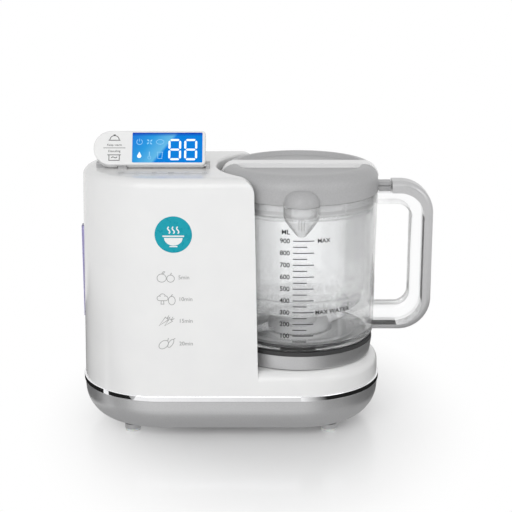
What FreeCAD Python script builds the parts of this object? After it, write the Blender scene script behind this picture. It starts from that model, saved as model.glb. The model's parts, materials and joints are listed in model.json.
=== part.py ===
import FreeCAD, Part
import math
import os

os.makedirs("parts", exist_ok=True)
V = FreeCAD.Vector

# Driving dimensions, in mm. X runs right, Y runs back, Z runs up from the feet.

# Plan: one stadium, with the tower round its left centre and the jug on its right centre
end_x = -75.0
jug_x = 34.5
base_r = 66.0
shell_t = 2.5
touch = 0.05
run_gap = 0.05
same = 0.005
full_round = 2.02
free_gap = 0.4

# Levels
pad_h = 2.2
tray_z = 6.0
band_z = 34.0
band_h = 4.8
deck_z = 57.0
tower_z = 210.0

# Base tray
tray_floor_in = 12.0
tray_belly_in = 1.8
tray_belly_up = 14.0
tray_belly_lift = 0.5
tray_rim_in = 0.6
tray_floor_round = 18.0
tray_belly_round = 24.0
band_t = 5.0
band_round = 0.8
foot_r = 6.5
foot_pad_r = 6.0
foot_in = 22.0
foot_angle = 57.0
vent_count = 6
vent_pitch = 9.0
vent_w = 3.2
vent_len = 46.0
screw_r = 1.7
screw_head_r = 3.4
screw_head_h = 2.0
screw_boss_r = 4.4
screw_in = 18.0
screw_angles = [17.0, 120.0, 240.0, 343.0]
screw_split_drop = 4.0

# Housing
house_in = 1.2
house_draft = 3.0
tower_edge = 7.0
deck_edge = 8.0
horn_left = 32.7
horn_draft = 3.4
horn_round = 12.0
recess_in = 0.2
recess_edge = 2.0

# Violet tank window in the round end
window_up = 25.0
window_drop = 49.0
window_w = 19.0
window_top_w = 12.0
window_round = 3.0
window_proud = 1.2

# Water tank, filler and flip cap
tank_gap = 0.6
tank_room = 3.0
tank_drop = 20.0
tank_t = 2.0
tank_round = 4.0
fill_in = 39.8
fill_y = 26.0
fill_r = 9.5
fill_t = 2.0
fill_collar_r = 13.5
fill_collar_h = 1.0
cap_h = 2.8
cap_round = 1.2
cap_plug_r = 8.9
cap_plug_h = 2.0
cap_hinge_back = 15.5
cap_hinge_up = 2.5
cap_ear_in = 5.0
cap_ear_w = 2.4
cap_ear_r = 2.2
cap_lug_r = 2.0
cap_lug_half = 3.5
hinge_pin_r = 1.0

# Motor, belt and drive
motor_gap = 1.2
motor_r = 25.0
motor_cap_r = 15.0
motor_cap_h = 3.0
motor_cap_round = 1.0
motor_round = 3.0
motor_shaft_r = 3.0
plate_t = 3.0
plate_in = 5.3
plate_right_gap = 2.2
plate_hole_r = 16.0
plate_gap = 2.0
leg_r = 4.0
leg_dx = 24.0
leg_dy = 34.0
fan_r = 22.0
fan_h = 8.0
fan_hub_r = 7.0
fan_blade_t = 1.6
fan_blades = 7
pulley_up = 14.0
pulley_h = 10.0
pulley_lip = 2.0
pulley_lip_h = 1.6
belt_ratio = 4.0
pulley_room = 7.6
pulley_web = 3.0
pulley_hub_r = 10.0
belt_t = 1.4
belt_gap = 0.3
drive_shaft_r = 5.0
drive_shaft_up = 6.3
drive_boss_r = 9.5
drive_boss_up = 11.0
bearing_r = 9.0
bearing_flange_r = 15.0
bearing_flange_h = 3.0
dog_flat = 14.0
dog_h = 6.4
dog_disc_r = 12.0
dog_disc_h = 2.0
dog_gap = 0.45

# Boiler, pump, hoses and nozzle
boiler_r = 24.0
boiler_h = 30.0
boiler_drop = 36.5
boiler_round = 5.0
boiler_leg_r = 3.0
boiler_leg_dx = 20.0
boiler_leg_dy = 30.0
boiler_plate_t = 2.5
boiler_lip = 1.4
fan_room = 4.0
pump_in = 16.3
pump_r = 9.0
pump_h = 30.0
pump_round = 2.2
hose_r = 3.4
hose_bore_r = 2.0
hose_bend = 12.0
feed_in = 3.0
feed_up = 12.0
pump_hose_drop = 15.0
nozzle_drop = 13.5
nozzle_r = 4.6
nozzle_flange_r = 8.0
nozzle_flange_t = 2.0
nozzle_seal_t = 1.2
nozzle_gap = 0.5
board_len = 42.0
board_w = 37.0
board_right = 8.2
board_in = 7.3
board_drop = 16.0
board_t = 1.6
board_boss_r = 3.0
board_boss_in = 4.0
board_chip_h = 3.0
board_chip = 13.0
board_chip_pitch = 19.0
gland_x = -60.0
gland_up = 9.2
gland_r = 5.0
gland_flange_r = 8.0
gland_flange_t = 2.0
gland_bore_r = 3.0

# Touch panel on the tower top
touch_left = 35.0
touch_right = 2.7
touch_in = 16.8
touch_w = 21.0
touch_t = 0.7
touch_left_round = 18.0
touch_round = 3.0

# Flip-up display: u runs up the face, v runs out of it, both from the hinge line
hinge_y = -18.0
hinge_up = 2.6
display_lean = 30.0
display_left_in = 13.4
display_right = 7.9
display_u0 = -1.5
display_u1 = 26.4
display_v0 = -1.5
display_v1 = 6.0
display_seam_v = 4.0
display_corner = 3.0
display_edge = 1.2
display_cavity_in = 4.0
display_cavity_u0 = 13.0
display_cavity_v0 = 0.6
lcd_w = 54.6
lcd_right = 2.4
lcd_edge = 1.6
lcd_sunk = 0.3
lcd_round = 0.8
knuckle_r = 2.2
knuckle_w = 7.0
knuckle_in = 22.4
end_knuckle_w = 2.6
notch_u = 3.8
notch_v = 3.0
hinge_bar_in = 1.6
hinge_bar_y0 = 3.2
hinge_bar_y1 = 10.5
hinge_bar_h = 4.2
hinge_bar_round = 1.4
channel_gap = 0.8

# Jug
jug_gap = 0.4
ring_top_in = 0.6
ring_foot_in = 2.4
ring_h = 11.9
ring_t = 3.0
ring_web_t = 3.0
ring_round = 1.5
seal_edge_in = 1.0
seal_in = 3.0
seal_h = 3.2
jug_room = 3.3
jug_draft = 1.9
jug_rim_drop = 20.4
jug_t = 3.2
jug_rim_t = 2.1
jug_floor_t = 3.2
jug_foot_round = 5.0
ledge_drop = 12.6
spout_in = 4.5
spout_r = 14.2
spout_tip_r = 2.0
spout_len = 27.6
spout_round = 10.0
spout_t = 1.6
beak_gap = 0.8
beak_round = 5.0
bush_r = 9.0
bush_flange_r = 20.0
bush_up = 3.8
blade_shaft_r = 4.0
hub_r = 24.6
hub_gap = 0.5
hub_h = 13.4
hub_round = 9.0
hub_t = 4.0
hub_roof_up = 5.8
blade_up = 1.4
blade_t = 1.4
blade_in = 14.6
blade_root_half = 8.0
blade_tip_half = 3.0
blade_sweep = 9.0
blade_count = 2
blade_start = 20.0
coupling_r = 13.0
coupling_web = 1.5

# Jug handle
finger_gap = 25.9
grip_t = 11.0
cover_t = 7.1
handle_half = 9.5
cover_half = 10.5
loop_low = 16.6
loop_high = 9.1
loop_round = 11.0
loop_ease = 3.5
clear_up = 6.9
clear_room = 0.7
cover_under = 4.1
cover_over = 9.2
handle_round = 26.0
clear_round = 20.0
slot_out = 10.7
cover_edge = 4.5

# Lid
lid_over = 0.1
lid_gap = 0.4
lid_rise = 1.5
lid_round = 11.0
lid_t = 2.2
lid_lean = 0.6
dish_in = 12.6
dish_deep = 3.0
dish_round = 1.4
plug_fit = 0.6
plug_t = 2.0
plug_round = 0.8
plug_deep = 9.6
plug_web_up = 5.0
plug_web_t = 2.0
plug_hole_r = 3.0
plug_hole_in = 29.8
plug_holes = 6
lid_seal_proud = 0.3
lid_seal_up = 2.0
lid_seal_h = 2.4
lid_seal_in = 1.0
bar_half = 7.5
bar_proud = 0.4
bar_foot_drop = 9.5
port_r = 3.4
port_bore_r = 2.2
hood_drop = 9.5
hood_round = 11.0
tab_half = 5.5
tab_lip = 0.9
tab_block_h = 4.0
tab_neck_in = 1.2
tab_neck_h = 1.0
tab_plate_h = 2.4
tab_gap = 0.8
drip_ribs = 3
drip_rib_w = 1.2
drip_pitch = 2.0
drip_len = 9.0
drip_deep = 2.0

# Steaming basket
basket_foot_in = 0.8
basket_draft = 2.2
basket_in = 8.3
basket_gap = 7.4
basket_step_up = 13.0
basket_step = 1.2
basket_t = 1.6
basket_round = 9.0
basket_fit = 0.55
basket_flange_h = 1.7
basket_slots = 16
basket_slot_w = 3.0
basket_slot_up = 5.0
basket_slot_h = 6.0
basket_hole_r = 2.2
basket_rings = 3
basket_ring_in = 12.2
basket_hole_pitch = 12.0

# Derived values: the housing
band_top = band_z + band_h
tray_in_z = tray_z + shell_t
tray_floor_r = base_r - tray_floor_in
tray_belly_r = base_r - tray_belly_in
tray_belly_z = tray_z + tray_belly_up
foot_reach = base_r - foot_in
screw_reach = base_r - screw_in
screw_split_z = band_z - screw_split_drop
house_r = base_r - house_in
house_in_r = house_r - shell_t
recess_r = base_r - recess_in
recess_x = jug_x - recess_r
recess_back_x = recess_x - shell_t
horn_x = jug_x - horn_left
tower_in_z = tower_z - shell_t
deck_in_z = deck_z - shell_t
far = 2 * base_r

# Derived values: inside the tower
motor_x = recess_back_x - motor_gap - motor_r
plate_r = house_in_r - plate_in
plate_right_x = recess_back_x - plate_right_gap
plate_z = deck_z + plate_gap
plate_top = plate_z + plate_t
boiler_top = tower_z - boiler_drop
boiler_z = boiler_top - boiler_h
boiler_plate_z = boiler_z - boiler_plate_t
fan_z = boiler_plate_z - fan_room - fan_h
motor_top = fan_z - fan_room
drive_pulley_r = screw_reach - screw_boss_r - pulley_room
motor_pulley_r = drive_pulley_r / belt_ratio
pulley_z = tray_z + pulley_up
drive_shaft_z = tray_z + drive_shaft_up
drive_boss_z = tray_z + drive_boss_up
pump_y = house_in_r - pump_in
feed_y = pump_y - feed_in
feed_z = plate_top + feed_up
tank_r = house_in_r - house_draft - tank_gap
tank_right_x = motor_x - motor_r - tank_room
tank_half_w = pump_y
tank_top_z = tower_z - tank_drop
window_z0 = plate_top + window_up
window_z1 = tower_z - window_drop
fill_x = end_x - house_r + fill_in
nozzle_z = tower_z - nozzle_drop
board_x1 = recess_back_x - board_right
board_x0 = board_x1 - board_len
board_y0 = board_in - house_in_r
board_y1 = board_y0 + board_w
board_z = tower_z - board_drop
gland_z = band_top + gland_up

# Derived values: the tower top
touch_x0 = end_x - touch_left
touch_x1 = recess_x - touch_right
touch_y0 = touch_in - house_r
touch_y1 = touch_y0 + touch_w
hinge_z = tower_z + hinge_up
display_x0 = end_x - house_r + display_left_in
display_x1 = recess_x - display_right
lcd_x1 = display_x1 - lcd_right
lcd_x0 = lcd_x1 - lcd_w
knuckle_x = display_x0 + knuckle_in
hinge_bar_x0 = display_x0 + hinge_bar_in

# Derived values: jug, handle, lid and basket
jug_r1 = recess_r - jug_room
jug_r0 = jug_r1 - jug_draft
ring_r0 = jug_r0 - ring_foot_in
ring_r1 = jug_r0 - ring_top_in
ring_z = deck_z + jug_gap
ring_top = ring_z + ring_h
seal_r = jug_r0 - seal_edge_in
jug_z = ring_top + seal_h
jug_floor_z = jug_z + jug_floor_t
jug_rim_z = tower_z - jug_rim_drop
jug_rim_in_r = jug_r1 - jug_rim_t
ledge_z = jug_rim_z - ledge_drop
ledge_r = jug_r0 + (jug_r1 - jug_r0) * (ledge_z - jug_z) / (jug_rim_z - jug_z)
spout_root_z = jug_rim_z - spout_len
spout_y = -jug_r1 + spout_in
drip_y = -jug_rim_in_r
gland_back_y = spout_r - spout_y
hub_z0 = jug_floor_z + hub_gap
hub_z1 = hub_z0 + hub_h
hub_roof_z = hub_z0 + hub_roof_up
bush_top_z = hub_z0 + bush_up
blade_z = hub_z0 + blade_up
blade_reach = jug_r0 - blade_in
grip_in_x = jug_x + jug_r1 + finger_gap
grip_split_x = grip_in_x + grip_t
grip_out_x = grip_split_x + cover_t
clear_z0 = jug_z + clear_up
lid_z = jug_rim_z + lid_gap
tab_z0 = lid_z - tab_lip
clear_z1 = tab_z0 - clear_room
cover_z0 = clear_z0 - cover_under
cover_z1 = clear_z1 + cover_over
loop_z0 = clear_z0 + loop_low
loop_z1 = clear_z1 - loop_high
lid_r = jug_r1 + lid_over
lid_top_z = tower_z + lid_rise
lid_under_z = lid_top_z - dish_deep - lid_t
slot_x = jug_x + lid_r + slot_out
dish_r = lid_r - dish_in
plug_r = jug_rim_in_r - plug_fit
plug_z = jug_rim_z - plug_deep
plug_web_z = plug_z + plug_web_up
plug_hole_ring = plug_r - plug_hole_in
lid_seal_r = plug_r + lid_seal_proud
lid_seal_z = plug_z + lid_seal_up
bar_foot_z = lid_top_z - bar_foot_drop
hood_top_z = lid_top_z - hood_drop
tab_neck_z = tab_z0 + tab_block_h
tab_plate_z = tab_neck_z + tab_neck_h
tab_z1 = tab_plate_z + tab_plate_h
nozzle_x = jug_x - lid_r - bar_proud - nozzle_gap
basket_r1 = jug_r1 - basket_in
basket_step_r = basket_r1 - basket_draft
basket_r0 = basket_step_r - basket_foot_in
basket_z0 = hub_z1 + basket_gap
basket_step_z = basket_z0 + basket_step_up
basket_slot_z0 = basket_z0 + basket_slot_up
basket_slot_z1 = basket_slot_z0 + basket_slot_h
basket_flange_r = jug_rim_in_r - basket_fit
basket_ring_pitch = (basket_r0 - basket_ring_in) / basket_rings


# Shape helpers
def round_wire(points, place):
    """Close an outline through (u, v, corner radius) points."""
    count = len(points)
    corners = []
    for i in range(count):
        here = V(points[i][0], points[i][1], 0)
        radius = points[i][2]
        back = V(points[i - 1][0], points[i - 1][1], 0) - here
        ahead = V(points[(i + 1) % count][0], points[(i + 1) % count][1], 0) - here
        back.normalize()
        ahead.normalize()
        if radius == 0:
            corners.append((here, None, here))
            continue
        half = back.getAngle(ahead) / 2
        middle_way = back + ahead
        middle_way.normalize()
        reach = radius / math.tan(half)
        middle = here + middle_way * (radius / math.sin(half) - radius)
        corners.append((here + back * reach, middle, here + ahead * reach))
    edges = []
    for i in range(count):
        start, middle, end = corners[i]
        if middle is not None:
            edges.append(Part.Arc(place(start), place(middle), place(end)).toShape())
        following = corners[(i + 1) % count][0]
        if (following - end).Length > same:
            edges.append(Part.makeLine(place(end), place(following)))
    return Part.Wire(edges)


def turn(points, x=0.0, y=0.0):
    face = Part.Face(round_wire(points, lambda p: V(x + p.x, y, p.y)))
    return face.revolve(V(x, y, 0), V(0, 0, 1), 360)


def stadium(points):
    """Sweep a half section round both ends and along both straight sides."""
    face = Part.Face(round_wire(points, lambda p: V(end_x, p.x, p.y)))
    length = V(jug_x - end_x, 0, 0)
    left = face.revolve(V(end_x, 0, 0), V(0, 0, 1), 180)
    side = face.extrude(length)
    other = side.mirror(V(0, 0, 0), V(0, 1, 0))
    moved = face.copy()
    moved.translate(length)
    right = moved.revolve(V(jug_x, 0, 0), V(0, 0, 1), -180)
    return left.fuse([side, other, right]).removeSplitter()


def prism_xz(points, y0, y1):
    face = Part.Face(round_wire(points, lambda p: V(p.x, y0, p.y)))
    return face.extrude(V(0, y1 - y0, 0))


def prism_yz(points, x0, x1):
    face = Part.Face(round_wire(points, lambda p: V(x0, p.x, p.y)))
    return face.extrude(V(x1 - x0, 0, 0))


def prism_xy(points, z0, z1):
    face = Part.Face(round_wire(points, lambda p: V(p.x, p.y, z0)))
    return face.extrude(V(0, 0, z1 - z0))


def block(x0, x1, y0, y1, z0, z1):
    return Part.makeBox(x1 - x0, y1 - y0, z1 - z0, V(x0, y0, z0))


def post(radius, z0, z1, x=0.0, y=0.0):
    return Part.makeCylinder(radius, z1 - z0, V(x, y, z0))


def post_x(radius, x0, x1, y, z):
    return Part.makeCylinder(radius, x1 - x0, V(x0, y, z), V(1, 0, 0))


def post_y(radius, y0, y1, x, z):
    return Part.makeCylinder(radius, y1 - y0, V(x, y0, z), V(0, 1, 0))


def hexagon(flat, z0, z1, x, y):
    corner = flat / math.sqrt(3)
    points = []
    for i in range(6):
        angle = math.radians(60 * i)
        points.append((x + corner * math.cos(angle), y + corner * math.sin(angle), 0))
    return prism_xy(points, z0, z1)


def turned_copies(shape, count, x, y, start=0.0):
    copies = []
    for i in range(count):
        copy = shape.copy()
        copy.rotate(V(x, y, 0), V(0, 0, 1), start + 360.0 * i / count)
        copies.append(copy)
    return copies


def join(shapes):
    return shapes[0].fuse(shapes[1:]).removeSplitter()


def polar(x, radius, angle):
    return x + radius * math.cos(math.radians(angle)), radius * math.sin(math.radians(angle))


def hose(start, corner, end, bend):
    """Tube along two straight runs with one bend."""
    back = start - corner
    ahead = end - corner
    back.normalize()
    ahead.normalize()
    first = corner + back * bend
    last = corner + ahead * bend
    inward = back + ahead
    inward.normalize()
    middle = corner + inward * (bend * (math.sqrt(2) - 1))
    path = Part.Wire([
        Part.makeLine(start, first),
        Part.Arc(first, middle, last).toShape(),
        Part.makeLine(last, end),
    ])
    outer = Part.Wire([Part.makeCircle(hose_r, start, back)])
    inner = Part.Wire([Part.makeCircle(hose_bore_r, start, back)])
    solid = path.makePipeShell([outer], True, False)
    return solid.cut(path.makePipeShell([inner], True, False))


def save(name, shape):
    shape.exportStep("parts/" + name + ".step")


# Positions used by more than one piece
foot_spots = []
for side in (-1, 1):
    dx = foot_reach * math.cos(math.radians(foot_angle))
    dy = foot_reach * math.sin(math.radians(foot_angle))
    foot_spots.append((end_x - dx, side * dy))
    foot_spots.append((jug_x + dx, side * dy))

screw_spots = []
for angle in screw_angles:
    screw_spots.append(polar(jug_x, screw_reach, angle))

leg_spots = []
boiler_leg_spots = []
for sx in (-1, 1):
    for sy in (-1, 1):
        leg_spots.append((motor_x + sx * leg_dx, sy * leg_dy))
        boiler_leg_spots.append((motor_x + sx * boiler_leg_dx, sy * boiler_leg_dy))

board_boss_spots = []
for x in (board_x0 + board_boss_in, board_x1 - board_boss_in):
    for y in (board_y0 + board_boss_in, board_y1 - board_boss_in):
        board_boss_spots.append((x, y))


# Base tray: a bowl with vents, screw bosses and the lower drive seat
tray_outer = stadium([
    (0, tray_z, 0),
    (tray_floor_r, tray_z, tray_floor_round),
    (tray_belly_r, tray_belly_z, tray_belly_round),
    (base_r - tray_rim_in, band_z, 0),
    (0, band_z, 0),
])
tray_inner = stadium([
    (0, tray_in_z, 0),
    (tray_floor_r - shell_t / 2, tray_in_z, tray_floor_round - shell_t),
    (tray_belly_r - shell_t, tray_belly_z + tray_belly_lift, tray_belly_round - shell_t),
    (base_r - tray_rim_in - shell_t, band_z, 0),
    (0, band_z, 0),
])
tray = tray_outer.cut(tray_inner)
tray_adds = [post(drive_boss_r, tray_in_z - touch, drive_boss_z, jug_x)]
for x, y in screw_spots:
    tray_adds.append(post(screw_boss_r, tray_in_z - touch, screw_split_z, x, y))
tray = tray.fuse(tray_adds).removeSplitter()
tray_cuts = [post(drive_shaft_r + run_gap, drive_shaft_z - free_gap, drive_boss_z + touch, jug_x)]
for x, y in screw_spots:
    tray_cuts.append(post(screw_r, tray_z, screw_split_z + touch, x, y))
    tray_cuts.append(post(screw_head_r, tray_z - touch, tray_z + screw_head_h, x, y))
vent_mid = (end_x + jug_x) / 2
for i in range(vent_count):
    y = vent_pitch * (i - (vent_count - 1) / 2)
    slot = prism_xy([
        (vent_mid - vent_len / 2, y - vent_w / 2, vent_w / full_round),
        (vent_mid + vent_len / 2, y - vent_w / 2, vent_w / full_round),
        (vent_mid + vent_len / 2, y + vent_w / 2, vent_w / full_round),
        (vent_mid - vent_len / 2, y + vent_w / 2, vent_w / full_round),
    ], tray_z - touch, tray_in_z + touch)
    tray_cuts.append(slot)
save("base_tray", tray.cut(tray_cuts))

feet = []
pads = []
for x, y in foot_spots:
    feet.append(post(foot_r, pad_h, tray_z, x, y))
    pads.append(post(foot_pad_r, 0, pad_h, x, y))
save("feet", Part.makeCompound(feet))
save("foot_pads", Part.makeCompound(pads))

screws = []
for x, y in screw_spots:
    stem = post(screw_r, tray_z + screw_head_h, screw_split_z + screw_boss_r * 2, x, y)
    head = post(screw_head_r, tray_z + touch, tray_z + screw_head_h, x, y)
    screws.append(stem.fuse(head).removeSplitter())
save("base_screws", Part.makeCompound(screws))

band_solid = stadium([
    (0, band_z, 0),
    (base_r, band_z, band_round),
    (base_r, band_top, band_round),
    (0, band_top, 0),
])
band_hole = stadium([
    (0, band_z, 0),
    (base_r - band_t, band_z, 0),
    (base_r - band_t, band_top, 0),
    (0, band_top, 0),
])
save("chrome_band", band_solid.cut(band_hole))


# Housing: tower, jug deck and round recess in one shell, skin offset by "inset"
def wall_r(z, inset):
    return house_r - inset - house_draft * (z - band_top) / (tower_z - band_top)


def tower_solid(inset, z0):
    body = stadium([
        (0, z0, 0),
        (wall_r(z0, inset), z0, 0),
        (wall_r(tower_z - inset, inset), tower_z - inset, tower_edge - inset),
        (0, tower_z - inset, 0),
    ])
    keep = prism_xz([
        (end_x - far, z0, 0),
        (horn_x - inset, z0, 0),
        (horn_x - horn_draft - inset, tower_z - inset, horn_round - inset),
        (end_x - far, tower_z - inset, 0),
    ], -far, far)
    recess = post(recess_r + inset, deck_z - inset, tower_z + touch, jug_x)
    return body.common(keep).cut(recess)


def deck_solid(inset, z0):
    return stadium([
        (0, z0, 0),
        (wall_r(z0, inset), z0, 0),
        (wall_r(deck_z - inset, inset), deck_z - inset, deck_edge - inset),
        (0, deck_z - inset, 0),
    ])


housing = tower_solid(0, band_top).fuse(deck_solid(0, band_top)).removeSplitter()
rim_edges = []
for edge in housing.Edges:
    box = edge.BoundBox
    on_top = box.ZMin > tower_z - horn_round and box.YLength > recess_r / 2
    if on_top and edge.Curve.TypeId == "Part::GeomCircle" and abs(edge.Curve.Radius - recess_r) < touch:
        rim_edges.append(edge)
housing = housing.makeFillet(recess_edge, rim_edges)
void = tower_solid(shell_t, band_top).fuse(deck_solid(shell_t, band_top)).removeSplitter()
housing = housing.cut(void)
housing_adds = []
for x, y in board_boss_spots:
    housing_adds.append(post(board_boss_r, board_z + board_t, tower_in_z + touch, x, y))
for x, y in screw_spots:
    housing_adds.append(post(screw_boss_r, screw_split_z, deck_in_z + touch, x, y))
housing = housing.fuse(housing_adds).removeSplitter()

window_points = [
    (-window_w / 2, window_z0, window_round / 2),
    (window_w / 2, window_z0, window_round / 2),
    (window_top_w / 2, window_z1, window_round),
    (-window_top_w / 2, window_z1, window_round),
]
window_cut = prism_yz(window_points, end_x - far, end_x - base_r / 2)
touch_points = [
    (touch_x0, touch_y0, touch_left_round),
    (touch_x1, touch_y0, touch_round),
    (touch_x1, touch_y1, touch_round / 2),
    (touch_x0, touch_y1, touch_round / 2),
]
housing_cuts = [
    window_cut,
    post(fill_r + fill_t, tower_in_z - touch, tower_z + touch, fill_x, fill_y),
    prism_xy(touch_points, tower_z - touch_t, tower_z + touch),
    post(bearing_r, deck_in_z - touch, deck_z + touch, jug_x),
    post_x(nozzle_r, jug_x - recess_r - nozzle_flange_r, jug_x - recess_r + shell_t, 0, nozzle_z),
    post_y(gland_r, base_r / 2, gland_back_y, gland_x, gland_z),
]
for x, y in screw_spots:
    housing_cuts.append(post(screw_r, screw_split_z - touch, screw_split_z + screw_boss_r * 2, x, y))
save("main_housing", housing.cut(housing_cuts))


# Water tank behind its window, filler neck and flip cap
def tank_body(inset):
    limit = prism_xy([
        (end_x - tank_r, -tank_half_w + inset, tank_round),
        (tank_right_x - inset, -tank_half_w + inset, tank_round),
        (tank_right_x - inset, tank_half_w - inset, tank_round),
        (end_x - tank_r, tank_half_w - inset, tank_round),
    ], plate_top + inset, tank_top_z - inset)
    return post(tank_r - inset, plate_top + inset, tank_top_z - inset, end_x).common(limit)


tank = tank_body(0).cut(tank_body(tank_t))
tank = tank.cut(post(fill_r, tank_top_z - 2 * tank_t, tank_top_z + touch, fill_x, fill_y))
tank = tank.cut(post_x(hose_bore_r, tank_right_x - 2 * tank_t, tank_right_x + touch, feed_y, feed_z))
save("water_tank", tank)

window_shell = post(house_r - house_draft / 2 + window_proud, window_z0, window_z1, end_x)
window_shell = window_shell.cut(post(tank_r, window_z0, window_z1, end_x))
save("tank_window", window_shell.common(window_cut))

collar_top = tower_z + fill_collar_h
cap_hinge_y = fill_y + cap_hinge_back
cap_hinge_z = tower_z + cap_hinge_up
neck = join([
    post(fill_r + fill_t, tank_top_z, collar_top, fill_x, fill_y),
    post(fill_collar_r, tower_z, collar_top, fill_x, fill_y),
])
ears = []
for side in (-1, 1):
    x_in = fill_x + side * cap_ear_in
    x_out = fill_x + side * (cap_ear_in + cap_ear_w)
    x0 = min(x_in, x_out)
    x1 = max(x_in, x_out)
    ears.append(block(x0, x1, fill_y + fill_r, cap_hinge_y + cap_ear_r, tower_z, collar_top))
    ears.append(block(x0, x1, cap_hinge_y - cap_ear_r, cap_hinge_y + cap_ear_r, tower_z, cap_hinge_z))
    ears.append(post_x(cap_ear_r, x0, x1, cap_hinge_y, cap_hinge_z))
neck = join([neck] + ears)
neck = neck.cut([
    post(fill_r, tank_top_z - touch, collar_top + touch, fill_x, fill_y),
    post_x(hinge_pin_r, fill_x - fill_collar_r, fill_x + fill_collar_r, cap_hinge_y, cap_hinge_z),
])
save("filler_neck", neck)

cap_z = collar_top + free_gap
cap = turn([
    (0, cap_z, 0),
    (fill_collar_r, cap_z, 0),
    (fill_collar_r, cap_z + cap_h, cap_round),
    (0, cap_z + cap_h, 0),
], fill_x, fill_y)
cap = join([
    cap,
    post(cap_plug_r, cap_z - cap_plug_h, cap_z + touch, fill_x, fill_y),
    block(fill_x - cap_lug_half, fill_x + cap_lug_half, fill_y, cap_hinge_y, cap_z, cap_hinge_z + cap_lug_r),
    post_x(cap_lug_r, fill_x - cap_lug_half, fill_x + cap_lug_half, cap_hinge_y, cap_hinge_z),
])
cap = cap.cut(post_x(hinge_pin_r + run_gap, fill_x - fill_collar_r, fill_x + fill_collar_r,
                     cap_hinge_y, cap_hinge_z))
save("filler_cap", cap)
cap_pin_half = cap_ear_in + cap_ear_w
save("filler_cap_pin", post_x(hinge_pin_r, fill_x - cap_pin_half, fill_x + cap_pin_half,
                              cap_hinge_y, cap_hinge_z))


# Motor on a legged plate, with its fan and small pulley
plate = post(plate_r, plate_z, plate_top, end_x)
plate = join([plate, block(end_x, plate_right_x, -plate_r, plate_r, plate_z, plate_top)])
plate = plate.common(block(end_x - far, plate_right_x, -far, far, plate_z, plate_top))
legs = []
for x, y in leg_spots:
    legs.append(post(leg_r, tray_in_z, plate_z + touch, x, y))
plate = join([plate] + legs)
save("motor_bracket", plate.cut(post(plate_hole_r, plate_z - touch, plate_top + touch, motor_x)))

can = turn([
    (motor_shaft_r + run_gap, plate_top - motor_cap_h, 0),
    (motor_cap_r, plate_top - motor_cap_h, motor_cap_round),
    (motor_cap_r, plate_top, 0),
    (motor_r, plate_top, 0),
    (motor_r, motor_top - motor_cap_h, motor_round),
    (motor_cap_r, motor_top - motor_cap_h, 0),
    (motor_cap_r, motor_top, motor_cap_round),
    (motor_shaft_r + run_gap, motor_top, 0),
], motor_x)
save("motor_can", can)
motor_shaft_z0 = pulley_z - pulley_lip
save("motor_shaft", post(motor_shaft_r, motor_shaft_z0, fan_z + fan_h, motor_x))

fan_top = fan_z + fan_h
fan_blade = block(motor_x + fan_hub_r / 2, motor_x + fan_r, -fan_blade_t / 2, fan_blade_t / 2, fan_z, fan_top)
fan = join([post(fan_hub_r, fan_z, fan_top, motor_x)] + turned_copies(fan_blade, fan_blades, motor_x, 0))
save("motor_fan", fan.cut(post(motor_shaft_r, fan_z - touch, fan_top + touch, motor_x)))


def pulley_points(bore, radius):
    lip = radius + pulley_lip
    top = pulley_z + pulley_h
    return [
        (bore, pulley_z, 0),
        (lip, pulley_z, 0),
        (lip, pulley_z + pulley_lip_h, 0),
        (radius, pulley_z + pulley_lip_h + pulley_lip / 2, 0),
        (radius, top - pulley_lip_h - pulley_lip / 2, 0),
        (lip, top - pulley_lip_h, 0),
        (lip, top, 0),
        (bore, top, 0),
    ]


save("motor_pulley", turn(pulley_points(motor_shaft_r, motor_pulley_r), motor_x))
drive_pulley = turn(pulley_points(drive_shaft_r, drive_pulley_r), jug_x)
dish_z = (pulley_h - pulley_web) / 2
for z in (pulley_z, pulley_z + pulley_h - dish_z):
    hollow = post(drive_pulley_r - pulley_web, z, z + dish_z, jug_x)
    drive_pulley = drive_pulley.cut(hollow.cut(post(pulley_hub_r, z, z + dish_z, jug_x)))
save("drive_pulley", drive_pulley)


def belt_solid(grow, z0, z1):
    small = motor_pulley_r + grow
    large = drive_pulley_r + grow
    lean = math.asin((large - small) / (jug_x - motor_x))
    points = [
        (motor_x - small * math.sin(lean), -small * math.cos(lean), 0),
        (jug_x - large * math.sin(lean), -large * math.cos(lean), 0),
        (jug_x - large * math.sin(lean), large * math.cos(lean), 0),
        (motor_x - small * math.sin(lean), small * math.cos(lean), 0),
    ]
    return join([post(small, z0, z1, motor_x), post(large, z0, z1, jug_x), prism_xy(points, z0, z1)])


belt_z0 = pulley_z + pulley_lip_h + pulley_lip / 2 + belt_gap
belt_z1 = pulley_z + pulley_h - pulley_lip_h - pulley_lip / 2 - belt_gap
belt = belt_solid(belt_gap + belt_t, belt_z0, belt_z1)
save("drive_belt", belt.cut(belt_solid(belt_gap, belt_z0, belt_z1)))

save("drive_shaft", post(drive_shaft_r, drive_shaft_z, deck_z + dog_gap + dog_disc_h, jug_x))
bearing = join([
    post(bearing_r, deck_in_z, deck_z, jug_x),
    post(bearing_flange_r, deck_in_z - bearing_flange_h, deck_in_z, jug_x),
])
save("drive_bearing", bearing.cut(
    post(drive_shaft_r + run_gap, deck_in_z - bearing_flange_h, deck_z, jug_x)))
dog_z = deck_z + dog_gap
dog_top = dog_z + dog_h
dog = join([post(dog_disc_r, dog_z, dog_z + dog_disc_h, jug_x), hexagon(dog_flat, dog_z, dog_top, jug_x, 0)])
save("drive_coupling", dog.cut(post(drive_shaft_r, dog_z - touch, dog_z + dog_disc_h, jug_x)))


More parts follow.
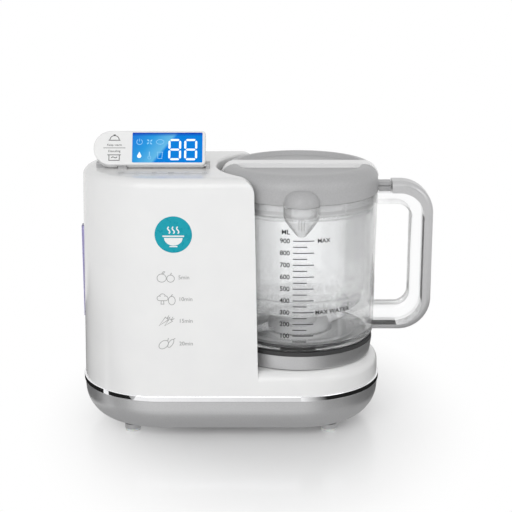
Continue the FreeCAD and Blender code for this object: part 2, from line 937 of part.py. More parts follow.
# Boiler stand, boiler, pump, hoses and steam nozzle
stand = post(boiler_r + boiler_lip, boiler_plate_z, boiler_z, motor_x)
stand_parts = [stand]
for x, y in boiler_leg_spots:
    stand_parts.append(post(boiler_leg_r, plate_top, boiler_z, x, y))
arm_half = boiler_leg_r
for sy in (-1, 1):
    y0 = min(0, sy * boiler_leg_dy)
    y1 = max(0, sy * boiler_leg_dy)
    for sx in (-1, 1):
        x = motor_x + sx * boiler_leg_dx
        stand_parts.append(block(x - arm_half, x + arm_half, y0, y1, boiler_plate_z, boiler_z))
save("boiler_stand", join(stand_parts))
boiler = turn([
    (0, boiler_z, 0),
    (boiler_r, boiler_z, boiler_round),
    (boiler_r, boiler_top, boiler_round),
    (0, boiler_top, 0),
], motor_x)
save("boiler", boiler)
save("water_pump", turn([
    (0, plate_top, 0),
    (pump_r, plate_top, 0),
    (pump_r, plate_top + pump_h, pump_round),
    (0, plate_top + pump_h, 0),
], motor_x, pump_y))

feed = post_x(hose_r, tank_right_x, motor_x, feed_y, feed_z)
feed = feed.cut(post_x(hose_bore_r, tank_right_x - touch, motor_x + touch, feed_y, feed_z))
save("feed_hose", feed.cut(post(pump_r, plate_top, plate_top + pump_h, motor_x, pump_y)))
pump_hose_z = boiler_top - pump_hose_drop
pump_hose = hose(V(motor_x, pump_y, plate_top + pump_h), V(motor_x, pump_y, pump_hose_z),
                 V(motor_x, 0, pump_hose_z), hose_bend)
save("pump_hose", pump_hose.cut(boiler))
steam_hose = hose(V(motor_x, 0, boiler_top), V(motor_x, 0, nozzle_z),
                  V(jug_x - recess_r - shell_t - nozzle_flange_t, 0, nozzle_z), hose_bend)
save("steam_hose", steam_hose)

nozzle_back_x = jug_x - recess_r - shell_t
nozzle = join([
    post_x(nozzle_r, nozzle_back_x - nozzle_flange_t, nozzle_x - nozzle_seal_t, 0, nozzle_z),
    post_x(nozzle_flange_r, nozzle_back_x - nozzle_flange_t, nozzle_back_x, 0, nozzle_z),
])
recess_bulk = post(recess_r + shell_t, nozzle_z - nozzle_flange_r, nozzle_z + nozzle_flange_r, jug_x)
recess_bulk = recess_bulk.cut(post_x(nozzle_r, nozzle_back_x - far, nozzle_x, 0, nozzle_z))
nozzle = nozzle.cut([recess_bulk, post_x(hose_bore_r, nozzle_back_x - far, nozzle_x, 0, nozzle_z)])
save("steam_nozzle", nozzle)
nozzle_seal = post_x(nozzle_r, nozzle_x - nozzle_seal_t, nozzle_x, 0, nozzle_z)
save("nozzle_seal", nozzle_seal.cut(post_x(hose_bore_r, nozzle_x - far, nozzle_x + touch, 0, nozzle_z)))

board = block(board_x0, board_x1, board_y0, board_y1, board_z, board_z + board_t)
board_mid_y = (board_y0 + board_y1) / 2
chip_half = board_chip / 2
for side in (-1, 1):
    x = (board_x0 + board_x1 + side * board_chip_pitch) / 2
    board = board.fuse(block(x - chip_half, x + chip_half, board_mid_y - chip_half, board_mid_y + chip_half,
                             board_z - board_chip_h, board_z))
save("control_board", board.removeSplitter())

gland_in_y = wall_r(gland_z + gland_flange_r, shell_t)
gland = join([
    post_y(gland_r, gland_in_y, gland_back_y, gland_x, gland_z),
    post_y(gland_flange_r, gland_in_y - gland_flange_t, gland_in_y, gland_x, gland_z),
])
save("cord_gland", gland.cut(post_y(gland_bore_r, gland_in_y - 2 * gland_flange_t, gland_back_y + touch,
                                    gland_x, gland_z)))
save("touch_panel", prism_xy(touch_points, tower_z - touch_t, tower_z))


# Flip-up display, drawn upright at the hinge line and then leaned back
def lean(shape):
    shape.rotate(V(0, hinge_y, hinge_z), V(1, 0, 0), -display_lean)
    return shape


def face_plate(x0, x1, u0, u1, v0, v1, left_round, right_round):
    points = [
        (x0, hinge_z + u0, left_round),
        (x1, hinge_z + u0, right_round),
        (x1, hinge_z + u1, right_round),
        (x0, hinge_z + u1, left_round),
    ]
    return prism_xz(points, hinge_y - v1, hinge_y - v0)


end_round = (display_u1 - display_u0) / full_round
shell = face_plate(display_x0, display_x1, display_u0, display_u1, display_v0, display_seam_v,
                   end_round, display_corner)
cavity = face_plate(lcd_x0 + display_cavity_in, lcd_x1 - display_cavity_in, display_cavity_u0,
                    display_u1 - display_cavity_in, display_cavity_v0, display_seam_v, 0, 0)
notch_half = knuckle_w / 2 + free_gap
notch = block(knuckle_x - notch_half, knuckle_x + notch_half, hinge_y - notch_v, hinge_y + knuckle_w,
              hinge_z - knuckle_w, hinge_z + notch_u)
pin_hole = post_x(hinge_pin_r + run_gap, display_x0, display_x1 + touch, hinge_y, hinge_z)
channel_v = tower_z + hinge_bar_h - hinge_z + free_gap
channel = face_plate(display_x0 - touch, display_x1 + touch, hinge_bar_y0 - channel_gap,
                     hinge_bar_y1 + channel_gap, display_v0 - touch, channel_v, 0, 0)
shell = shell.cut([cavity, notch, pin_hole, channel])
save("display_shell", lean(shell))
lcd_u0 = display_u0 + lcd_edge
lcd_u1 = display_u1 - lcd_edge
frame = face_plate(display_x0, display_x1, display_u0, display_u1, display_seam_v, display_v1,
                   end_round, display_corner)
frame_edges = []
for edge in frame.Edges:
    if edge.BoundBox.YMax < hinge_y - display_v1 + touch:
        frame_edges.append(edge)
frame = frame.makeFillet(display_edge, frame_edges)
lcd_hole = face_plate(lcd_x0, lcd_x1, lcd_u0, lcd_u1, display_seam_v, display_v1, lcd_round, lcd_round)
save("display_frame", lean(frame.cut(lcd_hole)))
lcd = face_plate(lcd_x0, lcd_x1, lcd_u0, lcd_u1, display_seam_v, display_v1 - lcd_sunk, lcd_round, lcd_round)
save("lcd_panel", lean(lcd))

end_knuckle_x = display_x1 + free_gap
hinge_x1 = end_knuckle_x + end_knuckle_w
knuckle_x0 = knuckle_x - knuckle_w / 2
bar_top = tower_z + hinge_bar_h
hinge_parts = [prism_yz([
    (hinge_y + hinge_bar_y0, tower_z, 0),
    (hinge_y + hinge_bar_y1, tower_z, 0),
    (hinge_y + hinge_bar_y1, bar_top, hinge_bar_round),
    (hinge_y + hinge_bar_y0, bar_top, hinge_bar_round),
], hinge_bar_x0, hinge_x1)]
for x0, x1 in ((knuckle_x0, knuckle_x0 + knuckle_w), (end_knuckle_x, hinge_x1)):
    hinge_parts.append(block(x0, x1, hinge_y - knuckle_r, hinge_y + hinge_bar_y0 + touch, tower_z, hinge_z))
    hinge_parts.append(post_x(knuckle_r, x0, x1, hinge_y, hinge_z))
hinge = join(hinge_parts)
save("hinge_block", hinge.cut(post_x(hinge_pin_r, knuckle_x0 - touch, hinge_x1 + touch, hinge_y, hinge_z)))
save("hinge_pin", post_x(hinge_pin_r, knuckle_x0, hinge_x1, hinge_y, hinge_z))


# Jug: ring, seal, coned clear wall with ledge and a faired pouring spout
ring = turn([
    (0, ring_z, 0),
    (ring_r0, ring_z, ring_round),
    (ring_r1, ring_top, 0),
    (0, ring_top, 0),
], jug_x)
ring_hollow = turn([
    (0, ring_z, 0),
    (ring_r0 - ring_t, ring_z, 0),
    (ring_r1 - ring_t, ring_top - ring_web_t, ring_round),
    (0, ring_top - ring_web_t, 0),
], jug_x)
save("jug_ring", ring.cut([ring_hollow, post(bush_r, ring_z, ring_top, jug_x)]))
save("jug_seal", post(seal_r, ring_top, jug_z, jug_x).cut(post(seal_r - seal_in, ring_top, jug_z, jug_x)))


jug_outer = turn([
    (0, jug_z, 0),
    (jug_r0, jug_z, jug_foot_round),
    (jug_r1, jug_rim_z, 0),
    (0, jug_rim_z, 0),
], jug_x)
jug_inner = turn([
    (0, jug_floor_z, 0),
    (jug_r0 - jug_t, jug_floor_z, jug_foot_round),
    (ledge_r - jug_t, ledge_z, 0),
    (ledge_r - jug_rim_t, ledge_z, 0),
    (jug_rim_in_r, jug_rim_z, 0),
    (0, jug_rim_z, 0),
], jug_x)


def spout_solid(inset):
    """Pointed lip whose axis stands just inside the jug's front wall."""
    return turn([
        (0, spout_root_z + 2 * inset, 0),
        (spout_tip_r, spout_root_z + 2 * inset, 0),
        (spout_r - inset, plug_z, spout_round - inset),
        (spout_r - inset, jug_rim_z, 0),
        (0, jug_rim_z, 0),
    ], jug_x, spout_y)


jug_solid = jug_outer.fuse(spout_solid(0)).removeSplitter()
jug = jug_solid.cut([jug_inner, spout_solid(spout_t)])
jug = jug.cut(post(bush_r, jug_z - touch, jug_floor_z + touch, jug_x))
save("jug_body", jug)

bush = join([
    post(bush_r, ring_top - ring_web_t, bush_top_z, jug_x),
    post(bush_flange_r, ring_top, jug_z, jug_x),
])
save("blade_bush", bush.cut(post(blade_shaft_r + run_gap, ring_z, bush_top_z + touch, jug_x)))

coupling_top = ring_top - ring_web_t - free_gap
socket_top = coupling_top - coupling_web
coupling_z = dog_z + dog_disc_h + free_gap
coupling = post(coupling_r, coupling_z, coupling_top, jug_x)
coupling = coupling.cut([
    hexagon(dog_flat + 2 * free_gap, coupling_z - touch, socket_top, jug_x, 0),
    post(blade_shaft_r, coupling_z, coupling_top + touch, jug_x),
])
save("blade_coupling", coupling)
save("blade_shaft", post(blade_shaft_r, socket_top, hub_z1 - hub_t, jug_x))

hub = turn([
    (0, hub_z0, 0),
    (hub_r, hub_z0, 0),
    (hub_r, hub_z1, hub_round),
    (0, hub_z1, 0),
], jug_x)
hub_full = hub.copy()
hub = hub.cut([
    post(hub_r - hub_t, hub_z0 - touch, hub_roof_z, jug_x),
    post(blade_shaft_r, hub_z0, hub_z1 - hub_t, jug_x),
])
save("blade_hub", hub)

blade = prism_xy([
    (jug_x + hub_r / 2, -blade_root_half, 0),
    (jug_x + hub_r, -blade_root_half, blade_root_half),
    (jug_x + blade_reach, blade_sweep - blade_tip_half, blade_tip_half / 2),
    (jug_x + blade_reach - blade_tip_half, blade_sweep + blade_tip_half, blade_tip_half / 2),
    (jug_x + hub_r, blade_root_half, 0),
    (jug_x + hub_r / 2, blade_root_half, 0),
], blade_z, blade_z + blade_t)
save("blades", Part.makeCompound(turned_copies(blade.cut(hub_full), blade_count, jug_x, 0, blade_start)))


# Handle: clear loop with a silver cover along its outer side
clear_outline = [
    (jug_x, clear_z0, 0),
    (grip_split_x, clear_z0, clear_round),
    (grip_split_x, clear_z1, clear_round),
    (jug_x, clear_z1, 0),
]
finger_hole = prism_xz([
    (jug_x, loop_z0, 0),
    (grip_in_x, loop_z0, loop_round),
    (grip_in_x, loop_z1, loop_round),
    (jug_x, loop_z1, 0),
], -far, far)
handle = prism_xz(clear_outline, -handle_half, handle_half).cut(finger_hole)
loop_edges = []
for edge in handle.Edges:
    box = edge.BoundBox
    flat_side = box.YLength < touch
    inside = box.ZMin > loop_z0 - touch and box.ZMax < loop_z1 + touch and box.XMax < grip_in_x + touch
    if flat_side and inside and box.XMax > jug_x + touch:
        loop_edges.append(edge)
handle = handle.makeFillet(loop_ease, loop_edges)
save("jug_handle", handle.cut(jug_outer))
loop_mid = (loop_z0 + loop_z1) / 2
cover_block = prism_xz([
    (jug_x, cover_z0, 0),
    (grip_out_x, cover_z0, handle_round),
    (grip_out_x, cover_z1, handle_round),
    (slot_x, cover_z1, 0),
    (slot_x, loop_mid, 0),
    (jug_x, loop_mid, 0),
], -cover_half, cover_half)
cover_edges = []
for edge in cover_block.Edges:
    box = edge.BoundBox
    flat_side = box.YLength < touch
    outside = box.XMax > slot_x + touch and (box.ZMax > loop_mid + touch or box.ZMin < loop_mid - touch)
    if flat_side and outside:
        cover_edges.append(edge)
cover_block = cover_block.makeFillet(cover_edge, cover_edges)
cover_bed = prism_xz(clear_outline, -far, far)
save("handle_cover", cover_block.cut([cover_bed, jug_outer]))


# Lid: dished shell with spout hood and two-step tab, plug with drip ribs, seal, white bar and steam port
def lid_skin(grow):
    return turn([
        (0, lid_z, 0),
        (lid_r + grow, lid_z, 0),
        (lid_r + grow - lid_lean, lid_top_z + grow, lid_round),
        (0, lid_top_z + grow, 0),
    ], jug_x)


lid_dish = turn([
    (0, lid_top_z - dish_deep, 0),
    (dish_r - dish_deep, lid_top_z - dish_deep, dish_round),
    (dish_r, lid_top_z + touch, 0),
    (0, lid_top_z + touch, 0),
], jug_x)
lid_hollow = turn([
    (0, lid_z - touch, 0),
    (lid_r - lid_t, lid_z - touch, 0),
    (lid_r - lid_t - lid_lean, lid_under_z, lid_round - lid_t),
    (0, lid_under_z, 0),
], jug_x)


def hood_solid(inset):
    return turn([
        (0, lid_z, 0),
        (spout_r - inset, lid_z, 0),
        (spout_r - inset, hood_top_z - inset, hood_round - inset),
        (0, hood_top_z - inset, 0),
    ], jug_x, spout_y)


tab_x0 = jug_x + lid_r - 2 * lid_t
tab_x1 = slot_x - tab_gap
tab_drop_x = jug_x + jug_r1 + 2 * lid_gap
lid = join([
    lid_skin(0),
    hood_solid(0),
    block(tab_drop_x, tab_x1, -tab_half, tab_half, tab_z0, lid_z),
    block(tab_x0, tab_x1, -tab_half, tab_half, lid_z, tab_neck_z),
    block(tab_x0, tab_x1 - tab_neck_in, tab_neck_in - tab_half, tab_half - tab_neck_in,
          tab_neck_z, tab_plate_z),
    block(tab_x0, tab_x1, -tab_half, tab_half, tab_plate_z, tab_z1),
])
port_x0 = jug_x - lid_r
port_x1 = jug_x - plug_r + plug_t
lid = lid.cut([lid_dish, lid_hollow, hood_solid(lid_t), post_x(port_r, port_x0 - lid_t, jug_x, 0, nozzle_z)])
save("lid_shell", lid)

bar_zone = block(jug_x - far, jug_x + far, -bar_half, bar_half, bar_foot_z, lid_top_z + far)
bar = lid_skin(bar_proud).common(bar_zone).cut(lid_skin(0).cut(lid_dish))
save("lid_bar", bar)

plug = turn([
    (plug_r - plug_t, plug_z, plug_round),
    (plug_r, plug_z, plug_round),
    (plug_r, lid_under_z, lid_round - lid_t),
    (0, lid_under_z, 0),
    (0, lid_under_z - plug_web_t, 0),
    (plug_r - plug_t, lid_under_z - plug_web_t, lid_round - lid_t - plug_t),
], jug_x)
beak_r = spout_r - spout_t - beak_gap
beak = turn([
    (0, plug_z, 0),
    (beak_r, plug_z, beak_round),
    (beak_r, jug_rim_z, 0),
    (0, jug_rim_z, 0),
], jug_x, spout_y).cut(post(plug_r - plug_t, plug_z, jug_rim_z, jug_x))
plug_web = post(plug_r - plug_t / 2, plug_web_z, plug_web_z + plug_web_t, jug_x)
plug_hole = post(plug_hole_r, plug_web_z - touch, plug_web_z + plug_web_t + touch, jug_x + plug_hole_ring)
plug_cuts = turned_copies(plug_hole, plug_holes, jug_x, 0)
plug_cuts.append(post_x(port_r, port_x0, port_x1 + plug_t, 0, nozzle_z))
groove = post(plug_r + touch, lid_seal_z, lid_seal_z + lid_seal_h, jug_x)
groove = groove.cut(post(plug_r - lid_seal_in, lid_seal_z, lid_seal_z + lid_seal_h, jug_x))
plug_cuts.append(groove)
drips = []
for i in range(drip_ribs):
    x = jug_x + (i - (drip_ribs - 1) / 2) * drip_pitch
    drips.append(block(x - drip_rib_w / 2, x + drip_rib_w / 2, drip_y - drip_deep, drip_y,
                       plug_z - drip_len, plug_z + touch))
plug_body = join([plug, plug_web]).cut(plug_cuts)
save("lid_plug", join([plug_body, beak] + drips))
lid_seal = post(lid_seal_r, lid_seal_z, lid_seal_z + lid_seal_h, jug_x)
seal_core = post(plug_r - lid_seal_in, lid_seal_z, lid_seal_z + lid_seal_h, jug_x)
save("lid_seal", lid_seal.cut([seal_core, beak]))
port = post_x(port_r, port_x0, port_x1, 0, nozzle_z).common(lid_skin(0))
save("steam_port", port.cut(post_x(port_bore_r, port_x0 - touch, port_x1 + touch, 0, nozzle_z)))


# Basket hung on the jug's ledge, with steam slots and drain holes
flange_z = ledge_z + free_gap
basket_outer = turn([
    (0, basket_z0, 0),
    (basket_r0, basket_z0, basket_round),
    (basket_step_r, basket_step_z, 0),
    (basket_step_r + basket_step, basket_step_z + basket_step, 0),
    (basket_r1, flange_z, 0),
    (basket_flange_r, flange_z, 0),
    (basket_flange_r, flange_z + basket_flange_h, 0),
    (0, flange_z + basket_flange_h, 0),
], jug_x)
basket_inner = turn([
    (0, basket_z0 + basket_t, 0),
    (basket_r0 - basket_t, basket_z0 + basket_t, basket_round - basket_t),
    (basket_step_r - basket_t, basket_step_z + basket_t / 2, 0),
    (basket_step_r + basket_step - basket_t, basket_step_z + basket_step + basket_t / 2, 0),
    (basket_r1 - basket_t, flange_z + basket_flange_h, 0),
    (0, flange_z + basket_flange_h, 0),
], jug_x)
basket = basket_outer.cut(basket_inner)
slot = block(jug_x + basket_r0 - 2 * basket_t, jug_x + basket_r1, -basket_slot_w / 2, basket_slot_w / 2,
             basket_slot_z0, basket_slot_z1)
basket_cuts = turned_copies(slot, basket_slots, jug_x, 0)
for ring in range(basket_rings):
    ring_radius = (ring + 1) * basket_ring_pitch
    count = round(2 * math.pi * ring_radius / basket_hole_pitch)
    hole = post(basket_hole_r, basket_z0 - touch, basket_z0 + basket_t + touch, jug_x + ring_radius)
    basket_cuts.extend(turned_copies(hole, count, jug_x, 0))
save("basket", basket.cut(basket_cuts))
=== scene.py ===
# %% [markdown]
# # Dressing a baby food maker
# The machine is a white tower with a steam boiler inside, a clear blending jug beside it, and a base that
# carries both. Its solids are already exact, so this lesson keeps them as they are and gives them finishes,
# printed marks, light and a camera. Modelling the shapes again here would only let the two drift apart.

# %% Load the frame
import json
import math

import bpy
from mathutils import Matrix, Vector
from mathutils.bvhtree import BVHTree


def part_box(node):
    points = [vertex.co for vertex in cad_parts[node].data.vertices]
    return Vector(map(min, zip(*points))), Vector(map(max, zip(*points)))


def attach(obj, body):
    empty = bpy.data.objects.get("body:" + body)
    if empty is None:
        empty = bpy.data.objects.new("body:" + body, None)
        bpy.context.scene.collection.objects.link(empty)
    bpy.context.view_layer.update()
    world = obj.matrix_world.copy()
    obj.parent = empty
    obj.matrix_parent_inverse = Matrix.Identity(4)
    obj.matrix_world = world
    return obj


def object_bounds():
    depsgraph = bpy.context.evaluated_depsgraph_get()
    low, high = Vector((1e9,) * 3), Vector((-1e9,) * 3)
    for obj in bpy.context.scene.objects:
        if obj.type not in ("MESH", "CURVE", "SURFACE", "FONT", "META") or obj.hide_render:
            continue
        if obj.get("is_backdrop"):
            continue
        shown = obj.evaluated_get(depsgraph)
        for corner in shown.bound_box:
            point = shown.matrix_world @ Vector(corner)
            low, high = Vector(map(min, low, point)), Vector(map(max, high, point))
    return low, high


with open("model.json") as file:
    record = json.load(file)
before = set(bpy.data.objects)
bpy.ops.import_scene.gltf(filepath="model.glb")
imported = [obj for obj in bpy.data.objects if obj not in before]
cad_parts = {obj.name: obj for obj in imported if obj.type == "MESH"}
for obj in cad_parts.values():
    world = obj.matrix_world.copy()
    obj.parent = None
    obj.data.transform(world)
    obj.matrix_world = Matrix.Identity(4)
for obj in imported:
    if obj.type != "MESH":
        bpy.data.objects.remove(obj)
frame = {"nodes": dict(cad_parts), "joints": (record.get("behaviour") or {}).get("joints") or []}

MM = 0.001
MICRON = 0.000001
nodes = frame["nodes"]
scene = bpy.context.scene
cad_box = [list(corner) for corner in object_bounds()]
box_mm = [[round(value / MM, 1) for value in corner] for corner in cad_box]
print("nodes", len(nodes), "box in mm", box_mm)

# %% [markdown]
# ## Camera
# A product picture is taken from a step back with a long lens, so that upright edges stay upright. The
# distance and the tilt follow from how much of the tower's top shows, and the lens from the object's size
# in the frame. A wide lens close by would fill the frame as well, but it would swell the near corners.

# %% Place the camera
FRAME_PX = 512
LENS_PX = 1331.0
SENSOR = 36.0
CAMERA_PLACE = Vector((0.0, -1.038, 0.4135))
CAMERA_TILT = 0.2626

camera_data = bpy.data.cameras.new("camera")
camera_data.sensor_width = SENSOR
camera_data.lens = SENSOR * LENS_PX / FRAME_PX
camera = bpy.data.objects.new("camera", camera_data)
camera.location = CAMERA_PLACE
camera.rotation_euler = (math.pi / 2 - CAMERA_TILT, 0, 0)
scene.collection.objects.link(camera)
scene.camera = camera
scene.view_settings.view_transform = "Standard"
print("lens in mm", round(camera_data.lens, 1))

# %% [markdown]
# ## Node helpers
# Every finish below is a small node graph. Writing one needs the same few moves over and over: start an
# empty material, add a node, set its sockets, and join two of them. The nodes could be set by hand in the
# editor, but helpers keep each finish short enough to read and the same on every run.


# %% A short way to write node graphs
class Graph:
    """A node tree with short calls for adding nodes and joining them."""

    def __init__(self, tree):
        self.tree = tree
        tree.nodes.clear()

    def add(self, kind, **sockets):
        node = self.tree.nodes.new("ShaderNode" + kind)
        for name, value in sockets.items():
            node.inputs[name.replace("_", " ")].default_value = value
        return node

    def join(self, source, source_name, target, target_name):
        self.tree.links.new(source.outputs[source_name], target.inputs[target_name])

    def surface(self, source, source_name):
        self.join(source, source_name, self.add("OutputMaterial"), "Surface")


def new_paint(name):
    """An empty material, and the graph that fills it."""
    paint = bpy.data.materials.new(name)
    paint.use_nodes = True
    return paint, Graph(paint.node_tree)


print("graph helper ready")


# %% Sums, ramps and places
def maths(graph, operation, first, second):
    """One Math node on two (node, output) pairs or plain numbers."""
    node = graph.add("Math")
    node.operation = operation
    for index, part in enumerate((first, second)):
        if isinstance(part, tuple):
            graph.tree.links.new(part[0].outputs[part[1]], node.inputs[index])
        else:
            node.inputs[index].default_value = part
    return node


def colour_ramp(graph, stops):
    """A ramp through (place, colour) stops, given in rising order."""
    ramp = graph.add("ValToRGB")
    elements = ramp.color_ramp.elements
    while len(elements) < len(stops):
        elements.new(0.5)
    for element, (place, colour) in zip(elements, stops):
        element.position = place
        element.color = (*colour, 1.0)
    return ramp


def own_axes(graph):
    """The object's own X, Y and Z, as separate outputs."""
    place = graph.add("TexCoord")
    axes = graph.add("SeparateXYZ")
    graph.join(place, "Object", axes, "Vector")
    return axes


print("sums, ramps and places ready")

# %% [markdown]
# ## Backdrop
# The machine stands in a plain white room. One even white world would be simplest, but at full strength it
# would wash the pale plastics out. So the world gives a soft fill to matt surfaces, while the camera,
# mirrors and clear plastic see plain white.

# %% White world
AMBIENT = 0.46
WHITE = (1.0, 1.0, 1.0)


def sees_backdrop(graph):
    """One where a camera, mirror or see-through ray arrives, and nought for light on matt surfaces."""
    path = graph.add("LightPath")
    some = maths(graph, "ADD", (path, "Is Camera Ray"), (path, "Is Glossy Ray"))
    every = maths(graph, "ADD", (some, "Value"), (path, "Is Transmission Ray"))
    every.use_clamp = True
    return every


world = bpy.data.worlds.new("white_room")
world.use_nodes = True
scene.world = world
graph = Graph(world.node_tree)
backdrop = graph.add("Background", Color=(*WHITE, 1.0))
extra = maths(graph, "MULTIPLY", (sees_backdrop(graph), "Value"), 1.0 - AMBIENT)
strength = maths(graph, "ADD", (extra, "Value"), AMBIENT)
graph.join(strength, "Value", backdrop, "Strength")
graph.join(backdrop, "Background", graph.add("OutputWorld"), "Surface")
print("ambient level", AMBIENT)

# %% [markdown]
# ## Floor
# The floor is a real white surface near the object, so it keeps the shadow, and it melts into the white of
# the room further out. A shadow catcher would need a compositor to put the white back. Mirrors don't see
# this floor, because the chrome has to show the cards that are laid just under it.

# %% Floor that keeps the shadow
FLOOR_HALF = 4.0
FLOOR_PALE = (0.95, 0.95, 0.95)
FLOOR_ROUGH = 0.16
FADE_START = 0.05
FADE_END = 0.18
FADE_STRETCH = (0.95, 0.7, 1.0)

floor_mesh = bpy.data.meshes.new("floor")
corners = [(-FLOOR_HALF, -FLOOR_HALF, 0), (FLOOR_HALF, -FLOOR_HALF, 0),
           (FLOOR_HALF, FLOOR_HALF, 0), (-FLOOR_HALF, FLOOR_HALF, 0)]
floor_mesh.from_pydata(corners, [], [(0, 1, 2, 3)])
floor = bpy.data.objects.new("floor", floor_mesh)
floor.visible_glossy = False
scene.collection.objects.link(floor)
floor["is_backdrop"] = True

floor_paint, graph = new_paint("floor_sweep")
near = graph.add("BsdfPrincipled", Base_Color=(*FLOOR_PALE, 1.0), Roughness=FLOOR_ROUGH)
far = graph.add("Emission", Strength=1.0)
place = graph.add("TexCoord")
shrunk = graph.add("Mapping", Scale=FADE_STRETCH)
graph.join(place, "Object", shrunk, "Vector")
distance = graph.add("VectorMath")
distance.operation = "LENGTH"
graph.join(shrunk, "Vector", distance, "Vector")
fade = graph.add("MapRange", From_Min=FADE_START, From_Max=FADE_END)
fade.interpolation_type = "SMOOTHSTEP"
graph.join(distance, "Value", fade, "Value")
share = maths(graph, "MULTIPLY", (fade, "Result"), (sees_backdrop(graph), "Value"))
mixed = graph.add("MixShader")
graph.join(share, "Value", mixed, "Fac")
graph.tree.links.new(near.outputs["BSDF"], mixed.inputs[1])
graph.tree.links.new(far.outputs["Emission"], mixed.inputs[2])
graph.surface(mixed, "Shader")
floor_mesh.materials.append(floor_paint)
print("floor fades to white between", FADE_START, "and", FADE_END, "m")

# %% [markdown]
# ## Lamps
# Four large soft boxes light the machine at a plain level, so that a colour renders about as it is written.
# The front one does most of the work, and the top and the right one only fill. A weaker one behind lights
# the inside of the jug. Mirrors and clear plastic don't see that one, because it would show as a bright
# square. Small lamps would also give enough light, but they leave hard spots on gloss.

# %% Soft boxes
AIM = Vector((0.0, 0.0, 0.11))


def soft_box(name, place, size, watts):
    """A square area lamp turned towards the object."""
    lamp = bpy.data.lights.new(name, "AREA")
    lamp.shape = "SQUARE"
    lamp.size = size
    lamp.energy = watts
    holder = bpy.data.objects.new(name, lamp)
    holder.location = place
    holder.rotation_euler = (AIM - holder.location).to_track_quat("-Z", "Y").to_euler()
    scene.collection.objects.link(holder)
    return holder


soft_box("front_box", place=(-0.55, -1.75, 1.05), size=1.5, watts=18.1)
soft_box("top_box", place=(0.10, 0.25, 1.70), size=1.3, watts=0.5)
back_box = soft_box("back_box", place=(0.45, 1.70, 0.70), size=1.2, watts=6.0)
back_box.visible_glossy = False
back_box.visible_transmission = False
soft_box("right_box", place=(1.35, -1.05, 0.95), size=0.9, watts=4.0)

# %% [markdown]
# ## Cards
# Chrome and clear plastic would be lost in an all-white room, so a photographer sets cards round them. Seen
# from a little above, an upright wall mirrors the floor and not the room, which is why most cards lie flat,
# just under the floor, and show only in mirrors. Those at the sides are black, the right one with a soft
# inner edge, and those at the left edge, at the front and under the machine are grey. A grey card stands far
# in front, for the walls that face the camera. Two upright cards at the sides show only through clear
# plastic, where the bent light at a wall's edge picks them up as dark lines.


# %% Cloths and cards
def cloth(name, tone, white_x=None, full_x=None):
    """A card's cloth in one tone, or one that runs from white at white_x to the tone at full_x."""
    paint, graph = new_paint(name)
    glow = graph.add("Emission", Color=(tone, tone, tone, 1.0), Strength=1.0)
    if white_x is not None:
        run = graph.add("MapRange", From_Min=white_x, From_Max=full_x)
        graph.join(own_axes(graph), "X", run, "Value")
        tones = colour_ramp(graph, ((0.0, WHITE), (1.0, (tone, tone, tone))))
        graph.join(run, "Result", tones, "Fac")
        graph.join(tones, "Color", glow, "Color")
    graph.surface(glow, "Emission")
    return paint


def card_corners(x, y, z):
    """Four corners of a card: two of the values are (low, high) spans and one is a single number."""
    if not isinstance(z, tuple):
        return [(x[0], y[0], z), (x[1], y[0], z), (x[1], y[1], z), (x[0], y[1], z)]
    if not isinstance(y, tuple):
        return [(x[0], y, z[0]), (x[1], y, z[0]), (x[1], y, z[1]), (x[0], y, z[1])]
    return [(x, y[0], z[0]), (x, y[1], z[0]), (x, y[1], z[1]), (x, y[0], z[1])]


def card(name, x, y, z, paint, through=False):
    """A flat card that only mirrors see, or only clear plastic if through is set."""
    mesh = bpy.data.meshes.new(name)
    mesh.from_pydata(card_corners(x, y, z), [], [(0, 1, 2, 3)])
    mesh.materials.append(paint)
    sheet = bpy.data.objects.new(name, mesh)
    sheet.visible_camera = False
    sheet.visible_diffuse = False
    sheet.visible_transmission = through
    sheet.visible_glossy = not through
    sheet.visible_shadow = False
    scene.collection.objects.link(sheet)
    sheet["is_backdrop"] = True


print("card helpers ready")

# %% Lay the cards
CARD_Z = -0.002
LEFT_X = (-0.50, -0.160)
RIGHT_X = (0.045, 0.42)
FRONT_X = (-0.16, 0.045)
FRONT_WHITE_X = -0.10
RIGHT_BLACK_X = 0.120
SIDE_CARD_X = 0.55

black_cloth = cloth("black_cloth", 0.015)
grey_cloth = cloth("grey_cloth", 0.45)
dark_cloth = cloth("dark_cloth", 0.03)
front_cloth = cloth("front_cloth", 0.74, FRONT_WHITE_X, FRONT_X[1])
right_cloth = cloth("right_cloth", 0.015, RIGHT_X[0], RIGHT_BLACK_X)
card("right_card", x=RIGHT_X, y=(-0.24, 0.40), z=CARD_Z, paint=right_cloth)
card("left_back_card", x=LEFT_X, y=(-0.039, 0.30), z=CARD_Z, paint=black_cloth)
card("left_front_card", x=LEFT_X, y=(-0.130, -0.061), z=CARD_Z, paint=black_cloth)
card("left_edge_card", x=LEFT_X, y=(-0.150, -0.130), z=CARD_Z, paint=grey_cloth)
card("front_floor_card", x=FRONT_X, y=(-0.24, -0.11), z=CARD_Z, paint=front_cloth)
card("under_card", x=(-0.15, 0.12), y=(-0.09, 0.09), z=CARD_Z / 2, paint=grey_cloth)
card("front_card", x=(-1.9, 1.9), y=-2.6, z=(0.25, 1.85), paint=grey_cloth)
for name, x in (("right_side_card", SIDE_CARD_X), ("left_side_card", -SIDE_CARD_X)):
    card(name, x=x, y=(-0.3, 0.8), z=(-0.6, 0.6), paint=dark_cloth, through=True)

# %% [markdown]
# ## Finishes
# Moulded plastic is never one flat colour: its tone drifts a little, its skin has the texture of the mould,
# and its gloss is uneven. So each finish takes a noise with a stated grain size, drifts the colour between
# two close tones, moves the roughness between two values, and may raise a faint skin. Values that are the
# same all over go straight onto the shader's own sockets, where an export can read them.

# %% The common finish
DEEP_STOP = 0.3
PALE_STOP = 0.7
NOISE_DETAIL = 3.0
finishes = {}


